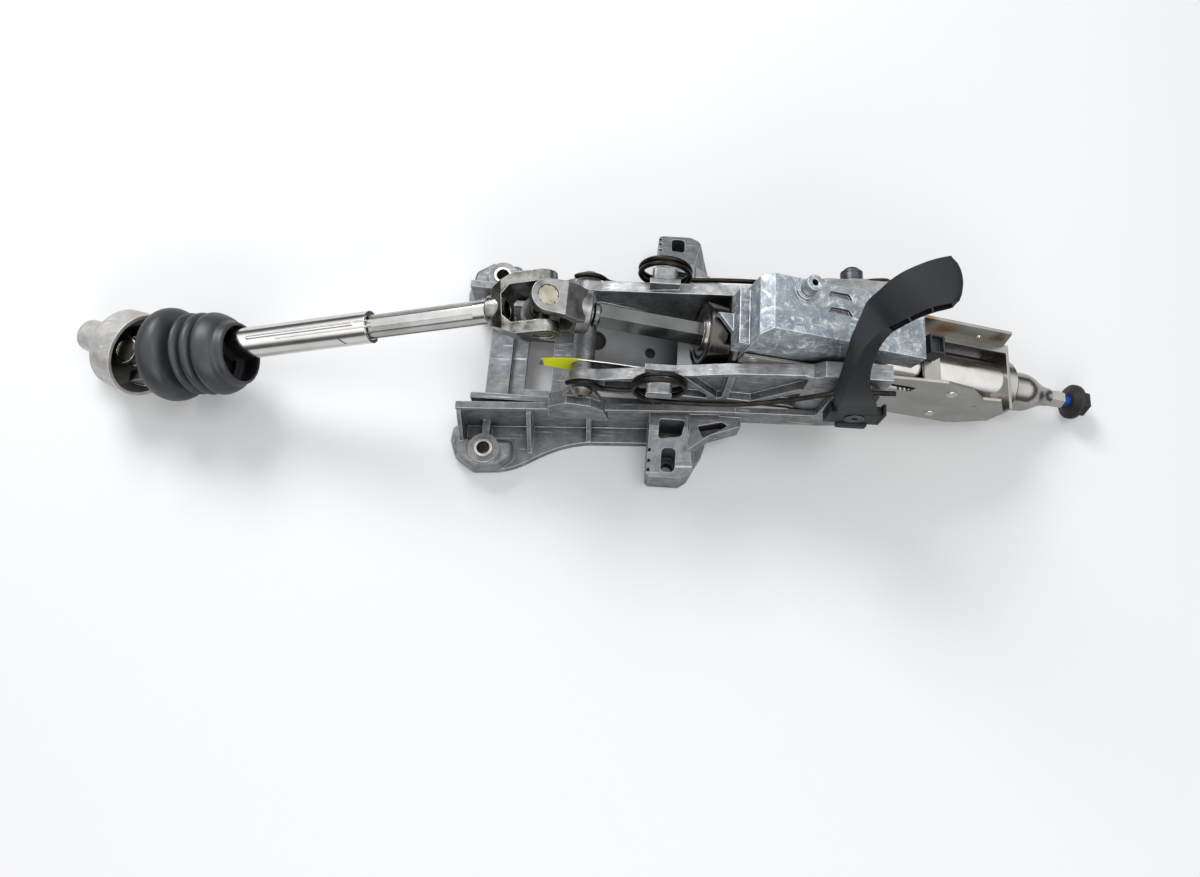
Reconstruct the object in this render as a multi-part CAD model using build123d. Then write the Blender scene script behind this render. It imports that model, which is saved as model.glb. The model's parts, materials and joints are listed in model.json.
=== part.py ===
from build123d import *
from math import asin, cos, degrees, hypot, radians, sin
import os

# A tilting and telescoping steering column, lying on its mounting bracket as on a bench.
# Millimetres. The origin is the middle of the two front mounting holes, on the mounting face.
# +X runs towards the steering wheel, +Y across, +Z up from the mounting face.

# Running clearances
FIT = 0.05  # radial, shaft in bore
GAP = 0.3  # between faces that slide past each other

# Lie of the column and of the lower shaft
COLUMN_PITCH = 15.25
JOINT_X = 50.0
LOWER_PITCH = 15.75
LOWER_YAW = 4.1
YOKE_TURN = 6.0
CUP_PITCH = 13.0
CUP_YAW = 20.0

# Main bracket casting
WALL_T = 4.0
RAIL_H = 60.0
RAIL_FRONT_X = -22.0
RAIL_REAR_X = 209.0
RAIL_FRONT_HALF = 57.0
RAIL_REAR_HALF = 45.0
FOOT_T = 9.0
BOLT_HALF = 82.0
BOSS_R = 13.0
BOSS_H = 28.0
PAD_H = 24.0
SLEEVE_R = 8.0
BOLT_HOLE_R = 5.5
EAR_X = RAIL_REAR_X - 52
EAR_HALF_X = 18.0
EAR_OUT = 98.6
EAR_END_H = 32.0
EAR_H = 52.0
EAR_HOLE_Y = 85.5
FAR_EAR_SHIFT = 31.0
FAR_GUSSET_SHIFT = 14.0
EAR_HOLE_R = 5.0
EAR_FLOOR_T = 14.0
DECK_Z = 16.0
DECK_T = 5.0
DECK_END_X = EAR_X - 7
DECK_TOP = 31.0

# Tilt pivots and clamp, in the side view
PIVOT_X = 82.0
PIVOT_Z = 93.0
PIVOT_PIN_R = 6.0
PIVOT_EAR_IN = 44.3
PIVOT_EAR_T = 4.7
PIVOT_EAR_R = 8.5
PIVOT_BLOCK_T = 12.0
BUSH_T = 1.5
CLAMP_S = 246.0
CLAMP_N = 27.5
CLAMP_BOLT_R = 4.0
TILT_HALF_RANGE = 3.0
SLOT_SPARE = 1.0
CHEEK_IN = 42.0
CHEEK_T = 5.0
CHEEK_HALF_X = 17.0

# Floor plate, along the column and square to it
FLOOR_S0 = 38.0
FLOOR_S1 = 128.0
FLOOR_N = -51.0

# Tilt arms
ARM_SKIN = 2.5
ARM_EYE_R = 10.5
ARM_FRONT_IN = 34.0
ARM_REAR_IN = 28.7
ARM_W = 9.0
ARM_RAIL_IN = 30.2
BLOCK_X0 = 262.0
BLOCK_X1 = 316.0
BLOCK_Z = 134.0
BLOCK_W = 12.5

# Balance springs
COIL_X = 143.0
COIL_Z = 112.0
COIL_Y = 49.0
COIL_R = 20.0
WIRE_R = 2.0
COIL_PITCH = 4.6
HOOK_Y = -46.6
LEG_Y = -49.3

# Jacket, along the column from the upper joint
TUBE_R = 22.0
TUBE_T = 2.0
BEARING_S = 128.0
BEARING_W = 12.0
HOUSING_R = 26.0
BEARING_OUT_R = 23.5
BEARING_IN_R = 14.0
PLATE_S = 147.0
PLATE_T = 3.0
JACKET_END_S = 395.0
CHEEK_PLATE_IN = 26.0
CHEEK_PLATE_T = 2.4
SHEET_T = 2.5
CHANNEL_S0 = 215.0
CHANNEL_S1 = 391.0
CHANNEL_TOP_N = 46.0
CHANNEL_LOW = TUBE_R + GAP + SHEET_T
REACH_OUT = 20.0
REACH_IN = 20.0
COLLAR_S1 = 405.0
COLLAR_R = 24.0
UPPER_OUT_R = 19.5
UPPER_IN_R = 11.0
RIVETS = ((331, 31.5), (340, -12))
HOLE_S = 363.0

# Spindle and wheel end
SPINDLE_R = 11.0
CONE_S1 = 450.0
CONE_R0 = 16.5
CONE_R1 = 7.9
NECK_AF = 13.5
NECK_S1 = 464.0
THREAD_R = 5.0
DISC_S = 474.0
DISC_T = 4.0
DISC_R = 15.0
HEAD_AF = 20.0
HEAD_T = 9.0

# Sliding hexagon shaft
HEX_AF = 18.0
HEX_S1 = 235.0
SOCKET_S1 = 262.0

# Universal joints
CAP_R = 8.0
CAP_L = 8.5
PIN_R = 4.8
ARM_OUT = 24.0
ARM_T = 9.0
ARM_HALF_W = 12.5
BRIDGE_R = 28.0
BRIDGE_T = 12.0
COLUMN_BRIDGE_R = 24.0
COLUMN_BRIDGE_T = 9.0
COLUMN_HUB_R = 17.0
COLUMN_HUB_L = 3.0

# Lower shaft, along it from the upper joint
INNER_R = 9.5
INNER_END = 250.0
OUTER_R = 13.0
OUTER_BORE = 10.2
OUTER_START = 144.0
BEAD_L = 96.0
BEAD_R = 1.6
LOWER_LENGTH = 360.0
BOOT_END = LOWER_LENGTH - 17
BOOT_START = BOOT_END - 77
BOOT_R = 38.0
BOOT_T = 2.5
BOOT_WEB = BOOT_START + 38

# Pinion cup
CUP_R = 36.0
CUP_T = 3.0
CUP_MOUTH = -2.0
CUP_DEPTH = 46.5
CUP_NECK_R = 15.0
CUP_NECK_END = 68.0
PINION_BORE_R = 8.0
PINCH_R = 4.0
PINCH_X = 57.0
PINCH_Z = 20.0

# Lock housing, along the column
LOCK_S0 = 150.5
LOCK_S1 = 238.0
LOCK_HALF = 25.0
LOCK_TOP = 70.0
LOCK_LOW = 10.0
LOCK_BOLT_S = 190.0
LOCK_BOLT_R = 5.0
LOCK_RING_R = 16.0
TAIL_S1 = 291.0
TAIL_IN = -15.0
TAIL_OUT = 26.0
TAIL_LOW = 37.5
TAIL_TOP = 58.0

# Clamp lever
HUB_Y = 53.0
HUB_T = 8.5
HUB_FLOOR = 5.0
HUB_HALF_X = 20.0
CAM_R = 12.0
CAM_T = 2.0
STACK_T = 14.7
TOOTH_H = 0.8
TOOTH_GAP = 0.35
NUT_R = 7.5

pitch = radians(COLUMN_PITCH)
JOINT_Z = (DISC_S + DISC_T) * sin(pitch) + DISC_R * cos(pitch) + 0.1


def direction(plan_x, yaw, down):
    """A unit vector whose plan angle and dip are given in degrees."""
    flat = cos(radians(down))
    return Vector(plan_x * flat * cos(radians(yaw)), flat * sin(radians(yaw)), -sin(radians(down)))


joint = Vector(JOINT_X, 0, JOINT_Z)
column = Location((JOINT_X, 0, JOINT_Z), (0, COLUMN_PITCH, 0))
along_column = direction(1, 0, COLUMN_PITCH)
along_lower = direction(-1, -LOWER_YAW, LOWER_PITCH)
along_cup = direction(-1, CUP_YAW, CUP_PITCH)
lower_joint = joint + along_lower * LOWER_LENGTH

# Pin axes of the two crosses
yoke_pin = Vector(sin(pitch) * cos(radians(YOKE_TURN)), -sin(radians(YOKE_TURN)), cos(pitch) * cos(radians(YOKE_TURN)))
fork_pin = yoke_pin.cross(along_lower).normalized()
tube_pin = fork_pin
cup_pin = tube_pin.cross(along_cup).normalized()

yoke_frame = Plane(origin=joint, x_dir=along_column, z_dir=yoke_pin).location
fork_frame = Plane(origin=joint, x_dir=along_lower, z_dir=fork_pin).location
upper_cross_frame = Plane(origin=joint, x_dir=fork_pin, z_dir=yoke_pin).location
tube_frame = Plane(origin=lower_joint, x_dir=along_lower * -1, z_dir=tube_pin).location
cup_frame = Plane(origin=lower_joint, x_dir=along_cup, z_dir=cup_pin).location
lower_cross_frame = Plane(origin=lower_joint, x_dir=cup_pin, z_dir=tube_pin).location
lower = Plane(origin=joint, x_dir=along_lower, z_dir=along_lower.cross(fork_pin)).location

# The clamp bolt, in the side view
clamp_x = JOINT_X + CLAMP_S * cos(pitch) + CLAMP_N * sin(pitch)
clamp_z = JOINT_Z - CLAMP_S * sin(pitch) + CLAMP_N * cos(pitch)
clamp_reach = hypot(clamp_x - PIVOT_X, clamp_z - PIVOT_Z)


def flat_z(points, low, high):
    """A plate whose plan outline stands from one height to another."""
    return extrude(Plane.XY.offset(low) * Polygon(*points, align=None), amount=high - low, dir=(0, 0, 1))


def flat_y(points, low, high):
    """A plate whose side outline runs from one y to another."""
    return extrude(Plane.XZ.offset(-high) * Polygon(*points, align=None), amount=high - low, dir=(0, -1, 0))


def block(x0, x1, y0, y1, z0, z1):
    return Pos((x0 + x1) / 2, (y0 + y1) / 2, (z0 + z1) / 2) * Box(x1 - x0, y1 - y0, z1 - z0)


def rod_x(r, x0, x1):
    return Pos((x0 + x1) / 2, 0, 0) * Rot(0, 90, 0) * Cylinder(r, x1 - x0)


def rod_y(r, y0, y1, x=0, z=0):
    return Pos(x, (y0 + y1) / 2, z) * Rot(90, 0, 0) * Cylinder(r, y1 - y0)


def rod_z(r, z0, z1, x=0, y=0):
    return Pos(x, y, (z0 + z1) / 2) * Cylinder(r, z1 - z0)


def tube_x(r_out, r_in, x0, x1):
    return rod_x(r_out, x0, x1) - rod_x(r_in, x0 - 1, x1 + 1)


def turned(points):
    """A solid turned about X from its half section, given as (along, radius)."""
    return revolve(Plane.XZ * Polygon(*points, align=None), Axis.X)


def hex_x(across, x0, x1):
    """A hexagon bar along X with a flat facing up and down."""
    face = Plane.YZ.offset(x0) * RegularPolygon(across / 2, 6, major_radius=False, rotation=0)
    return extrude(face, amount=x1 - x0)


def group(*shapes):
    """Separate solids kept together as one node."""
    return Compound([solid for shape in shapes for solid in shape.solids()])


def both_sides(shape):
    """The shape with its twin on the other side of the middle plane, as two solids."""
    return group(shape, mirror(shape, Plane.XZ))


def save(name, shape):
    export_step(shape, f"parts/{name}.step")


def rail_half(x):
    """Distance of the rail's outer face from the middle plane."""
    share = (x - RAIL_FRONT_X) / (RAIL_REAR_X - RAIL_FRONT_X)
    return RAIL_FRONT_HALF + (RAIL_REAR_HALF - RAIL_FRONT_HALF) * share


def bracket_half():
    """What the casting has on both sides, as its +Y half: rail wall, foot, ribs, boss, pivot ear and clamp cheek."""
    x0 = RAIL_FRONT_X
    x1 = RAIL_REAR_X
    wall = flat_z([(x0, rail_half(x0)), (x1, rail_half(x1)), (x1, rail_half(x1) - WALL_T),
                   (x0, rail_half(x0) - WALL_T)], 0, RAIL_H)
    lip = flat_z([(x0, rail_half(x0) + 2), (x1, rail_half(x1) + 2), (x1, rail_half(x1) - WALL_T),
                  (x0, rail_half(x0) - WALL_T)], RAIL_H - 5, RAIL_H)
    half = wall + lip + foot() + pad()
    for rib_x, reach in ((x0 + 2, 26), (38, 25), (88, 14)):
        inner = rail_half(rib_x) - 1
        half += flat_y_rib(rib_x, inner, inner + reach)
    half += rod_z(BOSS_R, 0, BOSS_H, 0, BOLT_HALF)
    half += flat_z([(-3, 56), (3, 56), (3, BOLT_HALF - 11), (-3, BOLT_HALF - 11)], 0, BOSS_H - 3)
    half += clamp_cheek()
    half += pivot_ear()
    half -= rod_z(SLEEVE_R, -1, BOSS_H + 1, 0, BOLT_HALF)
    return half


def foot():
    """The flat foot: its outer edge swings in from the boss to the rail in one curve."""
    x0 = RAIL_FRONT_X
    x1 = RAIL_REAR_X
    front = Polyline((x0, rail_half(x0) - WALL_T), (x0 - 9, 60), (x0 - 10, 72), (x0 - 5, 85), (x0 + 10, BOLT_HALF + 14),
                     (x0 + 34, BOLT_HALF + 13))
    swing = Spline(front @ 1, (47, 79.5), (90, 65), tangents=((1, -0.15), (1, -0.1)))
    back = Polyline(swing @ 1, (EAR_X - EAR_HALF_X, 62.4), (EAR_X, 60), (x1, rail_half(x1) - WALL_T), front @ 0)
    return extrude(make_face(front + swing + back), amount=FOOT_T)


def pad():
    """The raised round-edged pad round the front boss."""
    y = BOLT_HALF
    body = flat_z([(-28, y - 11), (-25, y + 5), (-10, y + 15), (14, y + 13), (24, y + 4), (24, y - 10)], 0, PAD_H)
    body = fillet(body.edges().filter_by(Axis.Z), 5)
    return fillet(body.faces().sort_by(Axis.Z)[-1].edges(), 4)


def flat_y_rib(x, y0, y1):
    """A cast rib across the rail's pocket, tall at the wall and falling to the foot's edge."""
    face = Plane.YZ.offset(x - 1.75) * Polygon((y0, 0), (y0, RAIL_H - 4), (y0 + 5, RAIL_H - 8), (y1, FOOT_T + 3),
                                               (y1, 0), align=None)
    return extrude(face, amount=3.5, dir=(1, 0, 0))


def ear(shift):
    """A rear mounting ear: falling towards its end, with a flank, a bolt well, a pocket and a notched front column."""
    x0 = EAR_X - EAR_HALF_X
    out = EAR_OUT + shift
    body = flat_z([(x0, 46), (x0, out - 2.5), (x0 + 3, out), (EAR_X + 11, out), (EAR_X + 18, out - 5),
                   (EAR_X + 24, out - 17), (EAR_X + 30, out - 28), (EAR_X + 33, 60), (EAR_X + 33, 46)], 0, EAR_H)
    top = Plane.YZ.offset(x0 - 1) * Polygon((40, 0), (out + 1, 0), (out + 1, EAR_END_H), (60 + shift, EAR_H), (40, EAR_H),
                                            align=None)
    body &= extrude(top, amount=60, dir=(1, 0, 0))
    body &= flat_y([(x0 - 1, 0), (EAR_X + 34, 0), (EAR_X + 14, EAR_H), (x0 - 1, EAR_H)], 40, out + 1)
    hole_y = EAR_HOLE_Y + shift
    well = block(EAR_X - 6.5, EAR_X + 5.5, hole_y - 9.3, hole_y + 9, EAR_FLOOR_T, EAR_H + 1)
    pocket = flat_z([(x0 + 8, 54), (x0 + 30, 54), (x0 + 27, 67 + shift / 2), (x0 + 8, 70 + shift / 2)], EAR_FLOOR_T, EAR_H + 1)
    for recess, corner in ((well, 4), (pocket, 2.5)):
        body -= fillet(recess.edges().filter_by(Axis.Z), corner)
    for y in (hole_y - 7, hole_y + 1, hole_y + 8):
        body -= block(x0 - 1, x0 + 3, y - 1.5, y + 1.5, EAR_H - 32, EAR_H + 1)
    return body - rod_z(EAR_HOLE_R, -1, EAR_FLOOR_T + 1, EAR_X, hole_y)


def gusset(shift):
    """The triangular end of the rail behind the ear, clear of the floor, with a slender pocket open at the top."""
    x0 = EAR_X + EAR_HALF_X - 4
    x1 = RAIL_REAR_X + 6
    top = RAIL_H - 12
    body = flat_z([(x0, 44), (x1, 40), (x1, 55 + shift), (x0 + 19, 64 + shift), (x0, 79 + shift)], top - 22, top)
    pocket = flat_z([(x0 + 8, 57 + shift / 2), (x0 + 28, 52 + shift / 2), (x0 + 34, 55 + shift / 2),
                     (x0 + 13, 67 + shift / 2)], top - 18, top + 1)
    return body - fillet(pocket.edges().filter_by(Axis.Z), 1.5)


def clamp_cheek():
    """The arm to the rear and its upright cheek, with the curved slot for the tilt."""
    y0 = CHEEK_IN
    y1 = CHEEK_IN + CHEEK_T
    x0 = clamp_x - CHEEK_HALF_X
    x1 = clamp_x + CHEEK_HALF_X
    top = clamp_z + clamp_reach * sin(radians(TILT_HALF_RANGE)) + CLAMP_BOLT_R + SLOT_SPARE + 7
    body = flat_y([(RAIL_REAR_X - 12, 34), (x0, 40), (x1 - 6, 46), (x1, 54), (x1, top - 10),
                   (x1 - 10, top), (x0 + 10, top), (x0, top - 10), (x0 - 4, RAIL_H + 4),
                   (RAIL_REAR_X - 12, RAIL_H - 2)], y0, y1)
    return body - tilt_slot(y0 - 1, y1 + 1)


def tilt_slot(y0, y1):
    """The clamp bolt's path about the pivot, as a curved slot."""
    reach = degrees(asin(SLOT_SPARE / clamp_reach)) + TILT_HALF_RANGE
    start = degrees(asin((clamp_z - PIVOT_Z) / clamp_reach))
    arc = CenterArc((0, 0), clamp_reach, start - reach, 2 * reach)
    face = SlotArc(arc=arc, height=2 * (CLAMP_BOLT_R + 0.3))
    plane = Plane(origin=(PIVOT_X, y1, PIVOT_Z), x_dir=(1, 0, 0), z_dir=(0, -1, 0))
    return extrude(plane * face, amount=y1 - y0)


def pivot_ear():
    """The upright ear that carries the tilt pivot: a round eye on tangent sides, on a foot beside the rail."""
    y0 = PIVOT_EAR_IN
    y1 = y0 + PIVOT_EAR_T
    eye = Pos(PIVOT_X, PIVOT_Z) * Circle(PIVOT_EAR_R)
    base = Pos(PIVOT_X - 2, RAIL_H) * Rectangle(40, 4)
    outline = make_hull(eye.edges() + base.edges())
    body = extrude(Plane.XZ.offset(-y1) * outline, amount=PIVOT_EAR_T, dir=(0, -1, 0))
    y2 = y0 + PIVOT_BLOCK_T
    body += flat_y([(PIVOT_X - 27, RAIL_H - 14), (PIVOT_X + 22, RAIL_H - 14), (PIVOT_X + 18, RAIL_H + 8),
                    (PIVOT_X + 8, PIVOT_Z - 16), (PIVOT_X - 12, PIVOT_Z - 12), (PIVOT_X - 27, RAIL_H + 10)], y0, y2)
    body -= rod_y(10.5, y1, y2 + 1, PIVOT_X, PIVOT_Z)
    return body - rod_y(PIVOT_PIN_R - 1.5, y0 - 1, y1 + 1, PIVOT_X, PIVOT_Z)


def deck():
    """The cross plate between the rails, with its window, raised rib and inner strips."""
    body = flat_z([(-4, -52), (60, -50), (DECK_END_X, -44), (DECK_END_X, 44), (60, 50), (-4, 52)],
                  DECK_Z, DECK_Z + DECK_T)
    body += block(-4, 16, -52, 52, 0, DECK_Z + DECK_T + 6)
    body += block(DECK_END_X - 8, DECK_END_X, -44, 44, 0, DECK_Z + DECK_T + 3)
    body -= block(29, 52, -24, 24, 0, DECK_TOP)
    body -= block(76, 128, -26, 26, 0, DECK_TOP)
    for side in (-1, 1):
        inner = sorted((side * 41, side * 46))
        body += block(-12, PIVOT_X - 26, inner[0], inner[1], DECK_Z, RAIL_H - 8)
    return body


def main_bracket():
    """One casting: like sides, but the far ear and gusset reach further out."""
    half = bracket_half()
    ends = mirror(ear(0) + gusset(0), Plane.XZ) + ear(FAR_EAR_SHIFT) + gusset(FAR_GUSSET_SHIFT)
    return half + mirror(half, Plane.XZ) + ends + deck()


def mount_sleeves():
    sleeve = rod_z(SLEEVE_R, 0, BOSS_H + 1, 0, BOLT_HALF) - rod_z(BOLT_HOLE_R, -1, BOSS_H + 2, 0, BOLT_HALF)
    return both_sides(sleeve)


def pivot_screws():
    """Shoulder screws: a domed star head outside the ear, the shoulder in the arm's bush."""
    y1 = PIVOT_EAR_IN + PIVOT_EAR_T
    screw = rod_y(PIVOT_PIN_R, ARM_FRONT_IN - 1, PIVOT_EAR_IN - GAP / 2, PIVOT_X, PIVOT_Z)
    screw += rod_y(PIVOT_PIN_R - 1.5, PIVOT_EAR_IN - 1, y1 + 1, PIVOT_X, PIVOT_Z)
    head = turned([(0, 0), (0, 9.5), (1.5, 9.5), (4.5, 6), (5.5, 0)])
    screw += Pos(PIVOT_X, y1, PIVOT_Z) * Rot(0, 0, 90) * head
    socket = Plane(origin=(PIVOT_X, y1 + 6, PIVOT_Z), x_dir=(1, 0, 0), z_dir=(0, -1, 0)) * star(3.2, 1.9)
    screw -= extrude(socket, amount=3)
    return both_sides(screw)


def star(tip, root):
    """A six-pointed drive recess."""
    points = []
    for k in range(12):
        r = tip if k % 2 == 0 else root
        points.append((r * cos(radians(30 * k)), r * sin(radians(30 * k))))
    return Polygon(*points, align=None)


def pivot_bushes():
    r = PIVOT_PIN_R + FIT
    bush = rod_y(r + BUSH_T, ARM_FRONT_IN, ARM_FRONT_IN + ARM_W, PIVOT_X, PIVOT_Z)
    bush -= rod_y(r, ARM_FRONT_IN - 1, ARM_FRONT_IN + ARM_W + 1, PIVOT_X, PIVOT_Z)
    return both_sides(bush)


def arm_side():
    """The arm's side view: eye at the pivot, rising top flange, clamp block at the rear."""
    x = PIVOT_X
    face = Polygon((x, PIVOT_Z + ARM_EYE_R), (x + 11, 102.5), (190, 118), (BLOCK_X0 - 4, 127), (BLOCK_X0 + 4, BLOCK_Z),
                   (BLOCK_X1, BLOCK_Z), (BLOCK_X1, 62), (BLOCK_X1 - 8, 56), (BLOCK_X0 - 6, 54), (180, 58),
                   (x + 30, 72), (x, PIVOT_Z - ARM_EYE_R), align=None)
    return face


def arm_half():
    """One die-cast tilt arm: an open channel that narrows in plan, with ribs and a spring post."""
    y_in = ARM_FRONT_IN
    far = ARM_FRONT_IN + ARM_W
    side = extrude(Plane.XZ.offset(-60) * arm_side(), amount=60, dir=(0, -1, 0))
    side += rod_y(ARM_EYE_R, 0, 60, PIVOT_X, PIVOT_Z)
    plan = flat_z([(PIVOT_X - 16, y_in), (PIVOT_X + 16, y_in), (200, ARM_REAR_IN), (BLOCK_X1, ARM_REAR_IN),
                   (BLOCK_X1, ARM_REAR_IN + BLOCK_W), (BLOCK_X0, ARM_REAR_IN + BLOCK_W),
                   (BLOCK_X0 - 10, ARM_REAR_IN + ARM_W + 0.5), (200, ARM_REAR_IN + ARM_W), (PIVOT_X + 16, far),
                   (PIVOT_X - 16, far)], 40, 150)
    arm = side & plan
    room = flat_z([(PIVOT_X + 16, ARM_FRONT_IN + ARM_SKIN), (200, ARM_REAR_IN + ARM_SKIN),
                   (BLOCK_X0, ARM_REAR_IN + ARM_SKIN), (BLOCK_X0, 60), (PIVOT_X + 16, 60)], 40, 150)
    for points in arm_pockets():
        arm -= flat_y(points, 0, 60) & room
    arm -= rod_y(PIVOT_PIN_R + FIT + BUSH_T, 20, 60, PIVOT_X, PIVOT_Z)
    arm -= rod_y(CLAMP_BOLT_R + FIT, 20, 60, clamp_x, clamp_z)
    post = block(COIL_X - 10, COIL_X + 10, ARM_REAR_IN + 6, COIL_Y + 5, COIL_Z - 13, COIL_Z - 1)
    post = fillet(post.edges().filter_by(Axis.Y), 3)
    arm += post
    arm += block(COIL_X - 12, COIL_X + 12, 34.5, 39, COIL_Z - 6, COIL_Z + 9)
    return arm


def arm_pockets():
    """The open pockets in the arm's outer face, between the flanges and slanting ribs."""
    return (
        [(PIVOT_X + 18, 99), (PIVOT_X + 44, 104), (PIVOT_X + 44, 84), (PIVOT_X + 18, 87)],
        [(158, 108), (184, 72), (184, 66), (158, 72)],
        [(163, 110), (196, 114), (196, 68), (192, 66), (189, 72)],
        [(201, 114), (256, 121), (256, 100), (220, 64), (201, 66)],
        [(226, 62), (256, 92), (256, 60)],
    )


def tilt_bracket():
    """Both arms, the tube that joins them at the pivots and the bridge under the jacket."""
    half = arm_half()
    cross = rod_y(9, 0, ARM_FRONT_IN, PIVOT_X, PIVOT_Z)
    cross -= rod_y(PIVOT_PIN_R + FIT, ARM_FRONT_IN - 2, ARM_FRONT_IN + 1, PIVOT_X, PIVOT_Z)
    bridge = flat_y([(196, 54), (256, 50), (256, 44), (196, 44)], 0, ARM_REAR_IN + 4)
    rail = flat_y([(PIVOT_X + 6, 68), (180, 44), (196, 44), (196, 54), (178, 62), (PIVOT_X + 8, 84)],
                  ARM_RAIL_IN, ARM_RAIL_IN + 4.5)
    half += bridge + rail + cross
    return half + mirror(half, Plane.XZ)


def floor_plate():
    """Pressed steel plate under the joint, with two holes and a turned-up rear edge."""
    s0 = FLOOR_S0
    s1 = FLOOR_S1
    n1 = FLOOR_N
    plate = block(s0, s1, -ARM_RAIL_IN, ARM_RAIL_IN, n1 - SHEET_T, n1)
    plate += flat_y([(s1, n1 - SHEET_T), (s1 + 11, n1 + 5), (s1 + 9.5, n1 + 7.5), (s1 - 1, n1)], -12, 18)
    plate -= rod_z(8.5, n1 - 10, n1 + 10, s0 + 18, 2)
    plate -= rod_z(4.5, n1 - 10, n1 + 10, s1 - 25, -1)
    return column * plate


def crash_strip():
    """A narrow spring-steel strip on edge beside the plate; its front end carries a paint mark."""
    y = 3 - ARM_RAIL_IN
    n1 = FLOOR_N
    strip = flat_y([(8, n1 + 26), (8, n1 + 32), (52, n1 + 30), (118, n1 + 8), (118, n1), (106, n1), (60, n1 + 24.5)],
                   y - 0.6, y + 0.6)
    strip += block(8, 46, y - 0.6, y + 7, n1 + 30.8, n1 + 32)
    return column * strip


def near_spring():
    """Two-turn torsion spring: the front leg hooks over the pivot ear, the rear leg behind the clamp block."""
    start_y = COIL_PITCH - COIL_Y
    end_y = -COIL_PITCH - COIL_Y
    coil_frame = Plane(origin=(COIL_X, start_y, COIL_Z), x_dir=(0, 0, -1), z_dir=(0, -1, 0))
    helix = coil_frame * Helix(pitch=COIL_PITCH, height=2 * COIL_PITCH, radius=COIL_R)
    coil = sweep(Plane(origin=helix @ 0, z_dir=helix % 0) * Circle(WIRE_R), path=helix)
    over = PIVOT_Z + PIVOT_EAR_R + WIRE_R + GAP
    end_x = BLOCK_X1 + WIRE_R + GAP
    rest = BLOCK_Z - 3
    front = helix @ 0
    rear = helix @ 1
    coil += wire_run(front, front - (helix % 0) * 24, (PIVOT_X + 17, HOOK_Y, over - 3), (PIVOT_X + 8, HOOK_Y, over),
                     (PIVOT_X - 7, HOOK_Y, over), (PIVOT_X - 13, HOOK_Y, over - 7))
    coil += wire_run(rear, rear + (helix % 1) * 8, (COIL_X + 57, end_y, COIL_Z - COIL_R + 13),
                     (BLOCK_X0 - 7, LEG_Y - 1.7, rest - 12), (BLOCK_X0 + 10, LEG_Y, rest - 8), (end_x, LEG_Y, rest),
                     (end_x, -ARM_REAR_IN - 6, rest))
    return coil


def wire_run(*points):
    """Round wire through the points: straight lengths with ball corners, flush with the coil's cut end at the first."""
    lengths = []
    for here, there in zip(points, points[1:]):
        way = Vector(*there) - Vector(*here)
        lengths.append(Solid.make_cylinder(WIRE_R, way.length, Plane(origin=here, z_dir=way)))
    corners = [Pos(*point) * Sphere(WIRE_R) for point in points[1:]]
    return lengths[0].fuse(*lengths[1:], *corners)


def jacket_tube():
    tube = tube_x(TUBE_R, TUBE_R - TUBE_T, PLATE_S, JACKET_END_S)
    tube -= rod_z(LOCK_BOLT_R + 0.6, 0, 60, LOCK_BOLT_S)
    for s in (PLATE_S + 12, PLATE_S + 34):
        tube -= block(s, s + 12, -30, 30, -7, 7)
    return column * tube


def bearing_housing():
    """Turned steel cup that holds the lower bearing against a shoulder, in front of the square flange."""
    seat = BEARING_S + 1 + BEARING_W
    cup = turned([(BEARING_S, BEARING_OUT_R + FIT), (BEARING_S, HOUSING_R - 1), (BEARING_S + 1, HOUSING_R),
                  (PLATE_S, HOUSING_R), (PLATE_S, TUBE_R - 4), (seat, TUBE_R - 4), (seat, BEARING_OUT_R + FIT)])
    return column * cup


def end_plate():
    plate = block(PLATE_S, PLATE_S + PLATE_T, -27, 27, -27, 27)
    plate = chamfer(plate.edges().filter_by(Axis.X), 7)
    for y in (-20.5, 20.5):
        plate -= rod_x(2.6, PLATE_S - 1, PLATE_S + PLATE_T + 1).moved(Location((0, y, 17)))
    plate -= rod_x(TUBE_R, PLATE_S - 1, PLATE_S + PLATE_T + 1)
    return column * plate


def race_radii(r_out, r_in):
    """Pitch radius, ball radius and half the gap between the races of a ball bearing."""
    ball_r = (r_out - r_in) * 0.3
    return (r_out + r_in) / 2, ball_r, ball_r * 0.55


def ring_pair(s0, s1, r_out, r_in):
    """Outer and inner race of a ball bearing, each with its groove."""
    pitch_r, ball_r, half_gap = race_radii(r_out, r_in)
    groove = Pos((s0 + s1) / 2, 0, 0) * Rot(0, 90, 0) * Torus(pitch_r, ball_r + 0.03)
    outer = tube_x(r_out, pitch_r + half_gap, s0, s1) - groove
    inner = tube_x(pitch_r - half_gap, r_in, s0, s1) - groove
    return outer, inner


def balls(s0, s1, r_out, r_in, count):
    pitch_r, ball_r, half_gap = race_radii(r_out, r_in)
    spheres = []
    for k in range(count):
        turn = radians(360 * k / count)
        place = Pos((s0 + s1) / 2, pitch_r * cos(turn), pitch_r * sin(turn))
        spheres.append(column * place * Sphere(ball_r - 0.02))
    return group(*spheres)


def bearing_seal():
    """Rubber-faced seal between the races of the lower bearing."""
    pitch_r, ball_r, half_gap = race_radii(BEARING_OUT_R, BEARING_IN_R)
    return column * tube_x(pitch_r + half_gap, pitch_r - half_gap + GAP, BEARING_S + 1.2, BEARING_S + 2.2)


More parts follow.
